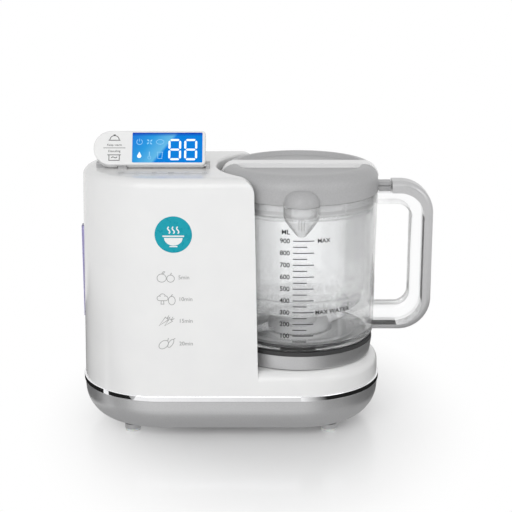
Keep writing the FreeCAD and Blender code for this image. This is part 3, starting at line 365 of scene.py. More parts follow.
def skin(name, pale, deep, grain, rough, raise_by=0.0, stretch=(1, 1, 1), **sockets):
    """A finish with drifting tone and gloss; grain is the noise size in metres."""
    paint, graph = new_paint(name)
    shader = graph.add("BsdfPrincipled", **sockets)
    place = graph.add("TexCoord")
    scaling = graph.add("Mapping", Scale=stretch)
    graph.join(place, "Object", scaling, "Vector")
    noise = graph.add("TexNoise", Scale=1.0 / grain, Detail=NOISE_DETAIL)
    graph.join(scaling, "Vector", noise, "Vector")
    tone = colour_ramp(graph, ((DEEP_STOP, deep), (PALE_STOP, pale)))
    graph.join(noise, "Fac", tone, "Fac")
    graph.join(tone, "Color", shader, "Base Color")
    gloss = graph.add("MapRange", To_Min=rough[0], To_Max=rough[1])
    graph.join(noise, "Fac", gloss, "Value")
    graph.join(gloss, "Result", shader, "Roughness")
    if raise_by:
        relief = graph.add("Bump", Strength=1.0, Distance=raise_by)
        graph.join(noise, "Fac", relief, "Height")
        graph.join(relief, "Normal", shader, "Normal")
    graph.surface(shader, "BSDF")
    return paint


def finish(name, pale, deep, grain, rough, **more):
    """A skin that is kept under its own name for the solids."""
    finishes[name] = skin(name, pale, deep, grain, rough, **more)


print("skin helper ready")

# %% [markdown]
# ### Housing, tray and lid plastics
# The tower is high-gloss white with a very faint orange peel. The tray and the jug's ring are satin silver,
# a grey resin with fine metal flake. The handle's cover has less flake in it, and its paler silver is
# painted light for the shade under the clear handle. The lid is a softer grey with a fine texture, and the
# drive's plastic is black. Two pieces inside the jug are a paler grey, partly painted light for the dim
# inside of the jug. One plain colour each would be quicker, but under soft light it is the grain that tells
# satin from gloss.

# %% Moulded plastics
finish("white_gloss", (0.86, 0.86, 0.855), (0.835, 0.835, 0.835), grain=0.03, rough=(0.16, 0.24),
       raise_by=10 * MICRON, Specular_IOR_Level=0.45)
finish("silver_plastic", (0.60, 0.60, 0.605), (0.53, 0.53, 0.535), grain=0.0006, rough=(0.36, 0.44),
       raise_by=4 * MICRON, Metallic=0.75)
# Paler than the tray's silver: painted light for the shade under the clear handle.
finish("cover_silver_painted_light", (0.56, 0.56, 0.565), (0.50, 0.50, 0.505), grain=0.0006, rough=(0.26, 0.34),
       raise_by=4 * MICRON, Metallic=0.3)
finish("grey_plastic", (0.455, 0.455, 0.46), (0.415, 0.415, 0.42), grain=0.0012, rough=(0.36, 0.46),
       raise_by=10 * MICRON)
# Paler than the lid's grey: partly painted light for the dim inside of the jug.
finish("inner_grey_painted_light", (0.74, 0.74, 0.745), (0.68, 0.68, 0.685), grain=0.0012, rough=(0.30, 0.40),
       raise_by=10 * MICRON)
finish("black_plastic", (0.05, 0.05, 0.052), (0.03, 0.03, 0.031), grain=0.001, rough=(0.40, 0.55),
       raise_by=20 * MICRON)
print("plastics", sorted(finishes))

# %% [markdown]
# ### Bright and raw metals
# The band is plated and mirror bright, so its noise moves tone and gloss only a little. Shafts, screws and
# blades are ground steel. Their noise is squeezed along the height, which leaves marks that run round a
# shaft, as a grinding wheel does. The boiler is cast and dull, and the motor can is a thin grey coat over
# pressed steel. An anisotropic shader could also show the grinding, but these pieces are mostly hidden.

# %% Metals
RING_GRIND = (1, 1, 40)
finish("chrome", (0.90, 0.90, 0.91), (0.86, 0.86, 0.87), grain=0.012, rough=(0.03, 0.07), Metallic=1.0)
finish("steel", (0.70, 0.70, 0.71), (0.52, 0.52, 0.53), grain=0.004, rough=(0.18, 0.34),
       raise_by=10 * MICRON, stretch=RING_GRIND, Metallic=1.0)
finish("cast_aluminium", (0.66, 0.66, 0.66), (0.50, 0.50, 0.51), grain=0.0025, rough=(0.38, 0.60),
       raise_by=120 * MICRON, Metallic=1.0)
finish("motor_metal", (0.38, 0.39, 0.41), (0.30, 0.31, 0.33), grain=0.004, rough=(0.28, 0.42),
       raise_by=20 * MICRON, Metallic=0.8)
print("metals added", len(finishes))

# %% [markdown]
# ### Clear plastics
# The jug and its handle are clear copolyester, the basket is the same resin with a slight frost, and the
# tank window is tinted violet. A refracting shader on walls of real thickness gives bright rims and dark
# edge lines by itself, but it throws so much shadow that the inside goes dark. So the shader also lets a
# share of the light pass straight through, by its alpha, and the lamps reach what is inside. Jug, handle
# and basket each have a share of their own.

# %% Clear resins
CLEAR_IOR = 1.54
CLEAR_ALPHA = 0.72
HANDLE_ALPHA = 0.65
BASKET_ALPHA = 0.5
finish("clear_plastic", (0.985, 0.99, 0.99), (0.97, 0.975, 0.98), grain=0.05, rough=(0.0, 0.015),
       Transmission_Weight=1.0, IOR=CLEAR_IOR, Alpha=CLEAR_ALPHA)
finish("handle_clear", (0.965, 0.97, 0.97), (0.945, 0.95, 0.955), grain=0.05, rough=(0.0, 0.015),
       Transmission_Weight=1.0, IOR=CLEAR_IOR, Alpha=HANDLE_ALPHA)
finish("basket_plastic", (0.975, 0.98, 0.985), (0.95, 0.955, 0.96), grain=0.02, rough=(0.02, 0.08),
       Transmission_Weight=1.0, IOR=CLEAR_IOR, Alpha=BASKET_ALPHA)
finish("violet_window", (0.50, 0.46, 0.78), (0.42, 0.38, 0.70), grain=0.03, rough=(0.08, 0.14),
       Transmission_Weight=0.75, IOR=CLEAR_IOR)
print("clear resins added", len(finishes))

# %% [markdown]
# ### Rubber, silicone and the board
# The belt and the jug's seal are matt black rubber, and the lid's seal is grey rubber. Foot pads, hoses and
# gaskets are pale silicone that lets a little light in, which a plain matt shader wouldn't show. The circuit
# board has a green mask with a fine grain that runs one way.

# %% Soft and hidden finishes
BOARD_GRAIN = (3, 1, 1)
finish("black_rubber", (0.045, 0.045, 0.046), (0.025, 0.025, 0.026), grain=0.0008, rough=(0.55, 0.75),
       raise_by=40 * MICRON)
finish("grey_rubber", (0.62, 0.62, 0.62), (0.56, 0.56, 0.56), grain=0.0008, rough=(0.50, 0.65),
       raise_by=20 * MICRON)
finish("pale_silicone", (0.80, 0.80, 0.78), (0.72, 0.72, 0.70), grain=0.006, rough=(0.40, 0.55),
       raise_by=20 * MICRON, Subsurface_Weight=0.2, Subsurface_Scale=0.004)
finish("green_board", (0.06, 0.33, 0.15), (0.04, 0.24, 0.11), grain=0.0012, rough=(0.25, 0.40),
       raise_by=20 * MICRON, stretch=BOARD_GRAIN)
print("soft finishes added", len(finishes))

# %% [markdown]
# ### The lit screen
# The screen is a blue backlit panel behind clear plastic, and it glows a little of its own. A slanted gleam
# crosses it: from the left the blue grows paler up to a sharp slanting line, and right of that line it is
# plain blue. The top edge is dark where the rim shades it. A real reflection would slide with the camera, so
# the gleam is part of the colour. It is tied to the panel's own box and stays there when the display folds.

# %% Screen tones
SCREEN_TOP = (0.006, 0.03, 0.36)
SCREEN_DEEP = (0.010, 0.15, 0.58)
SCREEN_MID = (0.020, 0.27, 0.62)
SCREEN_BRIGHT = (0.11, 0.41, 0.67)
SCREEN_RIGHT = (0.001, 0.18, 0.60)
SCREEN_STOPS = ((0.0, SCREEN_DEEP), (0.26, SCREEN_MID), (0.45, SCREEN_BRIGHT),
                (0.49, SCREEN_RIGHT), (1.0, SCREEN_RIGHT))
SCREEN_GLOW = 0.25
SCREEN_SLANT = 0.37
SCREEN_SHADE = 0.88
SCREEN_ROUGH = 0.12
SCREEN_SPECULAR = 0.06

low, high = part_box("lcd_panel")
print("screen spans", round((high[0] - low[0]) / MM, 1), "mm across")

# %% Screen finish
screen, graph = new_paint("screen")
shader = graph.add("BsdfPrincipled", Roughness=SCREEN_ROUGH, Specular_IOR_Level=SCREEN_SPECULAR,
                   Emission_Strength=SCREEN_GLOW)
axes = own_axes(graph)
across = graph.add("MapRange", From_Min=low[0], From_Max=high[0])
graph.join(axes, "X", across, "Value")
upward = graph.add("MapRange", From_Min=low[2], From_Max=high[2])
graph.join(axes, "Z", upward, "Value")
slanted = maths(graph, "MULTIPLY", (upward, "Result"), -SCREEN_SLANT)
run = maths(graph, "ADD", (across, "Result"), (slanted, "Value"))
fitted = graph.add("MapRange", From_Min=-SCREEN_SLANT, From_Max=1.0)
graph.join(run, "Value", fitted, "Value")
gleam = colour_ramp(graph, SCREEN_STOPS)
graph.join(fitted, "Result", gleam, "Fac")
shade = graph.add("MapRange", From_Min=SCREEN_SHADE, From_Max=1.0)
graph.join(upward, "Result", shade, "Value")
tone = graph.add("MixRGB", Color2=(*SCREEN_TOP, 1.0))
graph.join(shade, "Result", tone, "Fac")
graph.join(gleam, "Color", tone, "Color1")
graph.join(tone, "Color", shader, "Base Color")
graph.join(tone, "Color", shader, "Emission Color")
graph.surface(shader, "BSDF")
finishes["screen"] = screen
print("finishes ready", len(finishes))

# %% [markdown]
# ### Put the finishes on
# Each solid already names its finish, because the imported model carries one slot per piece. Matching by that
# name means a piece that is added later is dressed without another line here. Four pieces share a slot with
# others but look different, and are named one by one: two grey pieces inside the jug are paler than the lid,
# partly as painted light for the dim inside of the jug, and the clear handle and its silver cover have
# finishes of their own; the cover's paler silver is painted light for the shade under the handle.

# %% Dress every node
# The two paler finishes here are partly painted light for pieces that get little light.
OWN_FINISH = {"lid_plug": "inner_grey_painted_light", "blade_hub": "inner_grey_painted_light", "handle_cover": "cover_silver_painted_light",
              "jug_handle": "handle_clear"}
undressed = []
for name, node in nodes.items():
    for index, old in enumerate(node.data.materials):
        slot_name = OWN_FINISH.get(name, old.name.split(".")[0])
        if slot_name in finishes:
            node.data.materials[index] = finishes[slot_name]
        else:
            undressed.append(name)
print("dressed", len(nodes) - len(undressed), "left", undressed)

# %% [markdown]
# ## Printed marks
# Scale, times, pictograms and key signs are pad-printed: a film of ink a few hundredths of a millimetre
# thick. Painting them in a shader would need an image or a very large graph. Drawing them as flat outlines
# and dropping each point onto the real surface gives crisp edges, and the ink follows every curve and draft.


# %% Flat shapes and ribbons, all in millimetres on a sheet
def arc(x, y, rx, ry=None, start=0.0, sweep=360.0, steps=28):
    """Points along an ellipse, counter-clockwise from start, in degrees."""
    ry = rx if ry is None else ry
    count = steps if sweep >= 360.0 else steps + 1
    angles = [math.radians(start + sweep * i / steps) for i in range(count)]
    return [(x + rx * math.cos(a), y + ry * math.sin(a)) for a in angles]


def turned(points, x, y, degrees):
    """The points, turned by that angle about (x, y)."""
    c, s = math.cos(math.radians(degrees)), math.sin(math.radians(degrees))
    return [(x + (px - x) * c - (py - y) * s, y + (px - x) * s + (py - y) * c) for px, py in points]


def filled(points):
    """One face inside the outline."""
    return [Vector(p) for p in points], [tuple(range(len(points)))]


def stroke(points, width, closed=False):
    """A ribbon of even width along the points, with mitred corners."""
    line = [Vector(p) for p in points]
    count = len(line)
    left, right = [], []
    for i, here in enumerate(line):
        last = not closed and i == count - 1
        came = (here - line[i - 1]).normalized() if closed or i else (line[1] - here).normalized()
        goes = came if last else (line[(i + 1) % count] - here).normalized()
        way = (came + goes).normalized()
        reach = width / 2 / max(way.dot(came), 0.5)
        side = Vector((-way.y, way.x)) * reach
        left.append(here + side)
        right.append(here - side)
    spans = count if closed else count - 1
    faces = []
    for i in range(spans):
        j = (i + 1) % count
        faces.append((i, j, count + j, count + i))
    return left + right, faces


def long_line(x0, y0, x1, y1, width, step=1.5):
    """A straight ribbon cut short enough to bend round the jug."""
    count = max(2, round(math.hypot(x1 - x0, y1 - y0) / step) + 1)
    shares = [i / (count - 1) for i in range(count)]
    return stroke([(x0 + (x1 - x0) * t, y0 + (y1 - y0) * t) for t in shares], width)


print("shapes and ribbons ready")

# %% Letters and numbers
CAPITAL = 0.69


def words(text, height, x, y, align="LEFT", bold=0.0):
    """Filled letters of that capital height, from the built-in font; bold swells each stroke."""
    curve = bpy.data.curves.new("letters", "FONT")
    curve.body = text
    curve.offset = bold
    curve.align_x = align
    holder = bpy.data.objects.new("letters", curve)
    mesh = bpy.data.meshes.new_from_object(holder)
    scale = height / CAPITAL
    points = [Vector((x + v.co.x * scale, y + v.co.y * scale)) for v in mesh.vertices]
    faces = [tuple(p.vertices) for p in mesh.polygons]
    bpy.data.objects.remove(holder)
    bpy.data.curves.remove(curve)
    bpy.data.meshes.remove(mesh)
    return points, faces


print("letters ready, a capital is", CAPITAL, "of the font's size")

# %% [markdown]
# ### Dropping a drawing onto a surface
# Each point of a flat drawing is sent along one direction until it meets the solid, then lifted a little
# more than the thickness of the ink, so that the film also clears the wall between its points. That is how
# a pad printer's soft stamp meets a curved wall, too. A shrinkwrap modifier could do the same on one solid,
# but some drawings here lie on two solids at once.

# %% A wall that takes ink
FAR = 0.15
RIGHT = (1, 0, 0)
BACK = (0, 1, 0)
UP = (0, 0, 1)


class Wall:
    """The solids that take the ink, and the sheet's place and directions in front of them."""

    def __init__(self, names, origin, right, up):
        points, faces = [], []
        for name in names:
            mesh = nodes[name].data
            start = len(points)
            points.extend(v.co.copy() for v in mesh.vertices)
            faces.extend([start + i for i in p.vertices] for p in mesh.polygons)
        self.tree = BVHTree.FromPolygons(points, faces)
        self.origin = Vector(origin)
        self.right = Vector(right)
        self.up = Vector(up)
        self.out = self.right.cross(self.up)

    def drop(self, point, lift):
        """The place on the solid under a point of the sheet, lifted off it."""
        start = self.origin + (self.right * point.x + self.up * point.y) * MM + self.out * FAR
        hit, normal, _, _ = self.tree.ray_cast(start, -self.out)
        if hit is None:
            raise ValueError(f"the print point {tuple(point)} misses its wall")
        if normal.dot(self.out) < 0:
            normal = -normal
        return hit + normal * lift


LEAN = math.radians(30.0)
tilt = next(joint for joint in frame["joints"] if joint["name"] == "display_tilt")
hinge = Vector((0, tilt["pos_m"][1], tilt["pos_m"][2]))
slab_up = Vector((0, math.sin(LEAN), math.cos(LEAN)))
front_wall = Wall(["main_housing"], (0, -FAR, 0), RIGHT, UP)
jug_wall = Wall(["jug_body"], (0, -FAR, 0), RIGHT, UP)
key_wall = Wall(["touch_panel", "main_housing"], (0, 0, FAR), RIGHT, BACK)
slab_wall = Wall(["display_frame", "lcd_panel"], hinge, RIGHT, slab_up)
print("walls ready, hinge at", [round(v / MM, 1) for v in hinge])

# %% Ink film on a wall
INK = 0.05 * MM
LIFT = 0.09 * MM


def ink(name, drawing, wall, paint, body, layer=0):
    """A printed piece: the drawing's parts, dropped on the wall, as a thin film."""
    points, faces = [], []
    for part_points, part_faces in drawing:
        start = len(points)
        landed = [wall.drop(p, LIFT + layer * INK * 2) for p in part_points]
        points.extend(landed)
        for face in part_faces:
            corner = [landed[i] for i in face[:3]]
            facing = (corner[1] - corner[0]).cross(corner[2] - corner[0]).dot(wall.out)
            ordered = face if facing > 0 else face[::-1]
            faces.append(tuple(start + i for i in ordered))
    mesh = bpy.data.meshes.new(name)
    mesh.from_pydata(points, [], faces)
    mesh.materials.append(paint)
    piece = bpy.data.objects.new(name, mesh)
    scene.collection.objects.link(piece)
    film = piece.modifiers.new("film", "SOLIDIFY")
    film.thickness = INK
    film.offset = -1.0
    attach(piece, body)


print("ink film", round(INK / MM, 3), "mm thick")

# %% [markdown]
# ### Inks
# The scale is black, the times and pictograms are grey, and the badge is teal with white. On the screen the
# figures are white and the small signs pale blue, both lit from behind. Ink has a slight unevenness where
# the stamp lifted, so the inks are skins too, and not flat colours.

# %% Ink finishes
black_ink = skin("black_ink", (0.020, 0.020, 0.021), (0.012, 0.012, 0.012), grain=0.0008,
                 rough=(0.35, 0.5))
grey_ink = skin("grey_ink", (0.38, 0.38, 0.38), (0.33, 0.33, 0.33), grain=0.0008, rough=(0.35, 0.5))
teal_ink = skin("teal_ink", (0.008, 0.36, 0.45), (0.006, 0.32, 0.41), grain=0.004, rough=(0.24, 0.32),
                Specular_IOR_Level=0.2)
white_ink = skin("white_ink", (0.88, 0.88, 0.88), (0.84, 0.84, 0.84), grain=0.001, rough=(0.25, 0.35))
lit_sign = skin("lit_sign", (0.90, 0.95, 0.97), (0.84, 0.92, 0.96), grain=0.002, rough=(0.2, 0.3),
                Emission_Color=(0.9, 0.97, 1.0, 1.0), Emission_Strength=0.25)
faint_sign = skin("faint_sign", (0.24, 0.58, 0.84), (0.20, 0.53, 0.80), grain=0.002, rough=(0.2, 0.3),
                  Emission_Color=(0.22, 0.55, 0.82, 1.0), Emission_Strength=0.2)
print("inks ready")

# %% [markdown]
# ### Badge
# A round teal badge sits high on the front. It carries a plain pictogram of its own here, a steaming bowl,
# which says what the machine does. The bowl could be cut out of the teal, but a second film over the first
# is how it would be printed, and it keeps both outlines simple.

# %% Teal badge with a steaming bowl
BADGE_X = -62.5
BADGE_Z = 168.0
BADGE_R = 14.15
BOWL_R = 7.0
BOWL_FLAT = 0.85
BOWL_DROP = 1.2
BOWL_GAP = 1.3
RIM_OVER = 1.2
RIM_W = 1.1
FOOT_DROP = 8.0
FOOT_HALF = 3.0
FOOT_W = 0.9
STEAM_GAP = 3.4
STEAM_LOW = 2.0
STEAM_H = 5.4
STEAM_W = 0.95
STEAM_SWAY = 0.8
STEAM_STEPS = 12

bowl_top = BADGE_Z - BOWL_DROP
ink("badge", [filled(arc(BADGE_X, BADGE_Z, BADGE_R, steps=72))], front_wall, teal_ink, "base")
foot_z = bowl_top - FOOT_DROP
bowl = [filled(arc(BADGE_X, bowl_top - BOWL_GAP, BOWL_R, BOWL_R * BOWL_FLAT, 180.0, 180.0)),
        stroke([(BADGE_X - BOWL_R - RIM_OVER, bowl_top), (BADGE_X + BOWL_R + RIM_OVER, bowl_top)], RIM_W),
        stroke([(BADGE_X - FOOT_HALF, foot_z), (BADGE_X + FOOT_HALF, foot_z)], FOOT_W)]
for step in (-1, 0, 1):
    wave = []
    for i in range(STEAM_STEPS + 1):
        rise = i / STEAM_STEPS
        sway = STEAM_SWAY * math.sin(rise * 2 * math.pi)
        wave.append((BADGE_X + step * STEAM_GAP + sway, bowl_top + STEAM_LOW + rise * STEAM_H))
    bowl.append(stroke(wave, STEAM_W))
ink("badge_bowl", bowl, front_wall, white_ink, "base", layer=1)
print("badge across", 2 * BADGE_R, "mm")

# %% [markdown]
# ### Steaming times
# Four rows pair a kind of food with minutes of steam. The pictograms could come from a drawing file, but
# this script reads none. So each is a few thin strokes in the same weight, drawn for this lesson from arcs
# and short lines: fruit, greens, roots and pods.

# %% Fruit and greens
THIN = 0.46


def thin(points, closed=False):
    return stroke(points, THIN, closed)


def fruit_sign(x, z):
    leaf = [(x - 3.3, z + 2.6), (x - 2.2, z + 4.3), (x - 0.9, z + 4.5), (x - 1.6, z + 3.2)]
    big = arc(x - 3.3, z - 0.6, 3.5, 3.2)
    small = arc(x + 3.5, z - 1.0, 2.9, 2.8)
    stalk = [(x + 3.5, z + 1.8), (x + 4.2, z + 3.6)]
    return [thin(big, True), thin(small, True), thin(leaf, True), thin(stalk)]


def greens_sign(x, z):
    cloud = arc(x - 5.2, z + 0.6, 1.9, 1.9, 60, 200, 10) + arc(x - 0.6, z + 0.6, 1.9, 1.9, -80, 200, 10)
    crown = arc(x - 2.9, z + 2.2, 2.2, 2.0, 10, 160, 12)
    stem = [(x - 3.9, z - 1.0), (x - 4.1, z - 4.0), (x - 1.9, z - 4.0), (x - 2.1, z - 1.0)]
    pod = arc(x + 4.2, z - 1.2, 2.6, 3.4)
    stalk = [(x + 3.4, z + 2.0), (x + 4.9, z + 3.8)]
    return [thin(cloud), thin(crown), thin(stem), thin(pod, True), thin(stalk)]


print("stroke weight", THIN, "mm")


# %% Roots and pods
def roots_sign(x, z):
    parts = []
    for shift, length in ((-1.6, 8.2), (2.8, 6.6)):
        tip = (x + shift - 4.4, z - 4.0)
        crown_x = tip[0] + length * 0.78
        crown_z = tip[1] + length * 0.74
        parts.append(thin([tip, (crown_x - 1.3, crown_z + 0.9), (crown_x + 0.9, crown_z - 1.3)], True))
        parts.append(thin([(crown_x, crown_z), (crown_x + 1.4, crown_z + 2.2)]))
        parts.append(thin([(crown_x + 0.3, crown_z - 0.3), (crown_x + 2.4, crown_z + 1.0)]))
    return parts


def pods_sign(x, z):
    big = turned(arc(x - 2.6, z - 0.9, 4.2, 2.8), x - 2.6, z - 0.9, 40)
    slim = turned(arc(x + 2.9, z + 0.1, 3.7, 1.6), x + 2.9, z + 0.1, 58)
    big_stalk = [(x + 0.5, z + 2.0), (x + 1.2, z + 4.4)]
    slim_stalk = [(x + 4.8, z + 3.2), (x + 6.4, z + 4.2)]
    return [thin(big, True), thin(slim, True), thin(big_stalk), thin(slim_stalk)]


food_rows = (fruit_sign, greens_sign, roots_sign, pods_sign)
print("kinds of food", len(food_rows))

# %% Rows of food and minutes
ROWS_Z = (134.6, 117.4, 100.1, 81.8)
MINUTES = (5, 10, 15, 20)
SIGN_X = -68.6
TIME_X = -59.3
TIME_H = 3.0
TIME_BOLD = 0.006

signs, times = [], []
for draw, minutes, z in zip(food_rows, MINUTES, ROWS_Z):
    signs.extend(draw(SIGN_X, z))
    times.append(words(f"{minutes}min", TIME_H, TIME_X, z - TIME_H / 2, "LEFT", TIME_BOLD))
ink("food_signs", signs, front_wall, grey_ink, "base")
ink("steam_times", times, front_wall, grey_ink, "base")
print("rows", len(ROWS_Z), "strokes", len(signs))

# %% [markdown]
# ### The jug's scale
# The scale runs from 50 to 900 millilitres up the front of the jug. Its spacing is even because the jug
# hardly tapers, so one formula places every mark and every number. An array modifier could repeat the marks,
# but not the numbers beside them. The long marks are cut into short pieces, which bend with the wall.

# %% Scale marks and numbers
SCALE_LOW_Z = 81.9
SCALE_PER_ML = 0.09506
SCALE_STEP = 50
SCALE_TOP = 900
WHOLE_STEP = 100
MARK_X = 28.1
LONG_MARK = 44.2
SHORT_MARK = 38.9
MARK_W = 0.72
NUMBER_X = 25.7
NUMBER_H = 3.5
NUMBER_BOLD = 0.02
UNIT_RISE = 5.2
WORD_H = NUMBER_H * 0.9
WORD_HALF = NUMBER_H * 0.45
MAX_X = LONG_MARK + 2.4
WATER_X = LONG_MARK + 1.2
WATER_TOP = 300


def scale_z(amount):
    return SCALE_LOW_Z + (amount - SCALE_STEP) * SCALE_PER_ML


marks = []
for amount in range(SCALE_STEP, SCALE_TOP + SCALE_STEP, SCALE_STEP):
    z = scale_z(amount)
    whole = amount % WHOLE_STEP == 0
    marks.append(long_line(MARK_X, z, LONG_MARK if whole else SHORT_MARK, z, MARK_W))
    if whole:
        marks.append(words(str(amount), NUMBER_H, NUMBER_X, z - NUMBER_H / 2, "RIGHT", NUMBER_BOLD))
top_z = scale_z(SCALE_TOP)
marks.append(words("ML", NUMBER_H, NUMBER_X, top_z + UNIT_RISE, "RIGHT", NUMBER_BOLD))
marks.append(words("MAX", WORD_H, MAX_X, top_z - WORD_HALF, "LEFT", NUMBER_BOLD))
marks.append(words("MAX WATER", WORD_H, WATER_X, scale_z(WATER_TOP) - WORD_HALF, "LEFT", NUMBER_BOLD))
ink("jug_scale", marks, jug_wall, black_ink, "jug")
print("scale parts", len(marks), "top mark at", round(top_z, 1), "mm")

# %% [markdown]
# ### Frosted floor of the jug, with painted light
# The bottom of the jug looks pale and misty, while its walls are clear. Making the whole jug rougher would
# cloud the walls as well, and the finish of a solid is one for all of its faces. So a thin frosted ring lies
# on the jug's floor, round the blade's hub, and moves with the jug. Its pale colour is painted light that
# lightens the floor where the lid and the walls shade it.

# %% Frosted ring of painted light on the jug's floor
JUG_X = 34.5
PAINTED_LIGHT_RING_R = 36.5
PAINTED_LIGHT_RING_W = 18.0

# The ring is rough like frost, and its pale colour is painted light for the shaded floor of the jug.
frost_and_painted_light = skin("floor_frost", (0.94, 0.94, 0.94), (0.88, 0.88, 0.88), grain=0.002, rough=(0.45, 0.60),
             raise_by=20 * MICRON)
jug_floor = Wall(["jug_body"], (JUG_X * MM, 0, 0), RIGHT, BACK)
ring = stroke(arc(0, 0, PAINTED_LIGHT_RING_R, steps=96), PAINTED_LIGHT_RING_W, True)
ink("jug_floor_frost_and_painted_light", [ring], jug_floor, frost_and_painted_light, "jug")
print("frosted ring", PAINTED_LIGHT_RING_R - PAINTED_LIGHT_RING_W / 2, "to", PAINTED_LIGHT_RING_R + PAINTED_LIGHT_RING_W / 2, "mm")

# %% [markdown]
# ### Signs beside the screen
# The left of the slab has two signs with a rule between them, for keeping warm and for descaling. They are
# drawn on the slab's own leaning sheet, up from the hinge, because a drawing that is dropped from straight
# ahead would be stretched by the lean.

# %% Dome, pot, rule and labels
SIDE_X = -110.1
KEEP_U = 20.2
CLEAN_U = 4.3
RULE_U = 12.1
RULE_HALF = 8.6
RULE_W = 0.35
SIGN_W = 0.5
LABEL_H = 1.7
LABEL_GAP = 1.7

dome = [stroke(arc(SIDE_X, KEEP_U - 1.6, 3.6, 3.6, 0, 180, 18), SIGN_W),
        stroke([(SIDE_X - 4.6, KEEP_U - 1.8), (SIDE_X + 4.6, KEEP_U - 1.8)], SIGN_W),
        stroke([(SIDE_X - 0.8, KEEP_U + 2.5), (SIDE_X + 0.8, KEEP_U + 2.5)], SIGN_W * 1.6)]
pot = [stroke([(SIDE_X - 4.0, CLEAN_U + 2.0), (SIDE_X - 4.0, CLEAN_U - 2.4), (SIDE_X + 4.0, CLEAN_U - 2.4),
               (SIDE_X + 4.0, CLEAN_U + 2.0)], SIGN_W),
       stroke([(SIDE_X - 5.2, CLEAN_U + 2.1), (SIDE_X + 5.2, CLEAN_U + 2.1)], SIGN_W),
       stroke([(SIDE_X - 2.4, CLEAN_U - 0.4), (SIDE_X - 0.9, CLEAN_U + 0.5), (SIDE_X + 0.9, CLEAN_U - 0.5),
               (SIDE_X + 2.4, CLEAN_U + 0.4)], SIGN_W)]
rule = [stroke([(SIDE_X - RULE_HALF, RULE_U), (SIDE_X + RULE_HALF, RULE_U)], RULE_W)]
labels = [words("Keep warm", LABEL_H, SIDE_X, RULE_U + LABEL_GAP, "CENTER"),
          words("Descaling", LABEL_H, SIDE_X, RULE_U - LABEL_GAP - LABEL_H, "CENTER")]
ink("side_signs", dome + pot + rule + labels, slab_wall, black_ink, "display")
print("side signs at x", SIDE_X)

# %% [markdown]
# ### Figures and signs on the screen
# The screen has a pair of large seven-segment figures and small signs in two rows, all lit, as on a machine
# at self-test. A font could give the figures, but a real segment is a long hexagon with a gap to the next
# one, so each is drawn as that.

# %% Seven-segment figures
FIGURES_X = ((-68.1, -58.2), (-55.8, -45.7))
FIGURE_U = (2.1, 19.5)
SEGMENT_W = 1.6
SEGMENT_GAP = 0.5


def bar_segment(start, end):
    """A long hexagon between two points, short of both by the gap."""
    a, b = Vector(start), Vector(end)
    way = (b - a).normalized()
    side = Vector((-way.y, way.x)) * SEGMENT_W / 2
    a = a + way * SEGMENT_GAP
    b = b - way * SEGMENT_GAP
    slope = way * SEGMENT_W / 2
    return filled([a, a + slope - side, b - slope - side, b, b - slope + side, a + slope + side])


figures = []
for x0, x1 in FIGURES_X:
    left, right = x0 + SEGMENT_W / 2, x1 - SEGMENT_W / 2
    low_u, high_u = FIGURE_U[0] + SEGMENT_W / 2, FIGURE_U[1] - SEGMENT_W / 2
    middle_u = (low_u + high_u) / 2
    for u in (low_u, middle_u, high_u):
        figures.append(bar_segment((left, u), (right, u)))
    for x in (left, right):
        figures.append(bar_segment((x, low_u), (x, middle_u)))
        figures.append(bar_segment((x, middle_u), (x, high_u)))
ink("screen_figures", figures, slab_wall, lit_sign, "display")
print("segments", len(figures))

# %% Small signs on the screen
SIGNS_X = (-90.6, -82.8, -74.6)
UPPER_U = 17.1
LOWER_U = 6.1
UPPER_W = 0.45
LOWER_W = 0.4
PROBE_W = 0.7

first_x, second_x, third_x = SIGNS_X
power = [stroke(arc(first_x, UPPER_U, 2.2, 2.2, 120, 300, 22), UPPER_W),
         stroke([(first_x, UPPER_U + 0.4), (first_x, UPPER_U + 2.7)], UPPER_W)]
vanes = []
centre = Vector((second_x, UPPER_U))
for turn in range(4):
    angle = math.radians(45 + 90 * turn)
    away = Vector((math.cos(angle), math.sin(angle)))
    across_way = Vector((-away.y, away.x))
    vanes.append(filled([centre + away * 0.4, centre + away * 1.7 - across_way * 0.9, centre + away * 2.9,
                         centre + away * 1.7 + across_way * 0.5]))
plate = [stroke(arc(third_x, UPPER_U, 3.0, 1.9), UPPER_W, True)]
water = [filled([(first_x, LOWER_U + 3.0)] + arc(first_x, LOWER_U - 0.6, 1.6, 1.6, 150, 240, 16))]
ink("screen_drop", water, slab_wall, lit_sign, "display")
probe = [stroke(arc(second_x, LOWER_U - 1.8, 1.2, 1.2), LOWER_W, True),
         stroke([(second_x, LOWER_U - 0.6), (second_x, LOWER_U + 3.0)], PROBE_W)]
cup = [stroke([(third_x - 2.0, LOWER_U + 2.4), (third_x - 1.5, LOWER_U - 2.6),
               (third_x + 1.5, LOWER_U - 2.6), (third_x + 2.0, LOWER_U + 2.4)], LOWER_W),
       stroke([(third_x - 2.5, LOWER_U + 2.6), (third_x + 2.5, LOWER_U + 2.6)], LOWER_W)]
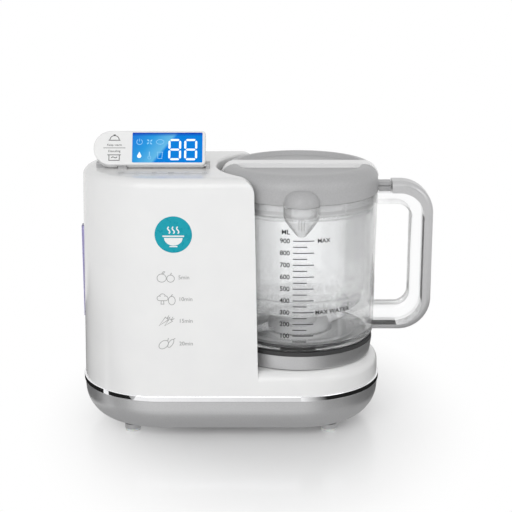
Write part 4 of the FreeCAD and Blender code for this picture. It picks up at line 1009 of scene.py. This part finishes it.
ink("screen_signs", power + vanes + plate + probe + cup, slab_wall, faint_sign, "display")
print("screen signs in", len(SIGNS_X), "columns")

# %% [markdown]
# ### Touch keys
# Six keys sit in a row under a smooth panel. They have no moving parts, so each is only a sign above and a
# short mark below a fine line, printed in grey. Engraved signs would be another way, but a touch panel is
# smooth so that it wipes clean.

# %% Key signs
KEYS_X = (-103.8, -91.2, -78.3, -65.2, -52.7, -39.7)
KEY_KINDS = 3
KEY_Y = -34.6
KEY_LINE_Y = -38.2
KEY_LINE_OVER = 3.0
KEY_LINE_W = 0.3
KEY_LOW_Y = -43.0
KEY_LOW_HALF = 1.8
KEY_W = 0.5

line_ends = [(KEYS_X[0] - KEY_LINE_OVER, KEY_LINE_Y), (KEYS_X[-1] + KEY_LINE_OVER, KEY_LINE_Y)]
keys = [stroke(line_ends, KEY_LINE_W)]
for order, x in enumerate(KEYS_X):
    keys.append(stroke([(x - KEY_LOW_HALF, KEY_LOW_Y), (x + KEY_LOW_HALF, KEY_LOW_Y)], KEY_W))
    kind = order % KEY_KINDS
    if kind == 0:
        keys.append(stroke(arc(x, KEY_Y, 1.9), KEY_W, True))
        keys.append(stroke([(x, KEY_Y), (x, KEY_Y + 1.2)], KEY_W))
    elif kind == 1:
        keys.append(stroke([(x - 2.0, KEY_Y), (x + 2.0, KEY_Y)], KEY_W))
    else:
        for shift in (-1.3, 0.0, 1.3):
            steam = [(x + shift, KEY_Y - 1.7), (x + shift + 0.4, KEY_Y), (x + shift, KEY_Y + 1.7)]
            keys.append(stroke(steam, KEY_W))
ink("key_signs", keys, key_wall, grey_ink, "base")
print("keys", len(KEYS_X))

# %% [markdown]
# ## Measure the growth
# Nothing printed should make the machine bigger than its solids. So the box of the dressed machine is
# measured against the box of the solids, and the largest growth is printed.

# %% Measure how much the box grew
dressed_box = [list(corner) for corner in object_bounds()]
grown = [max(abs(a - b) for a, b in zip(old, new)) / MM for old, new in zip(cad_box, dressed_box)]
print("box grew by at most", round(max(grown), 3), "mm")
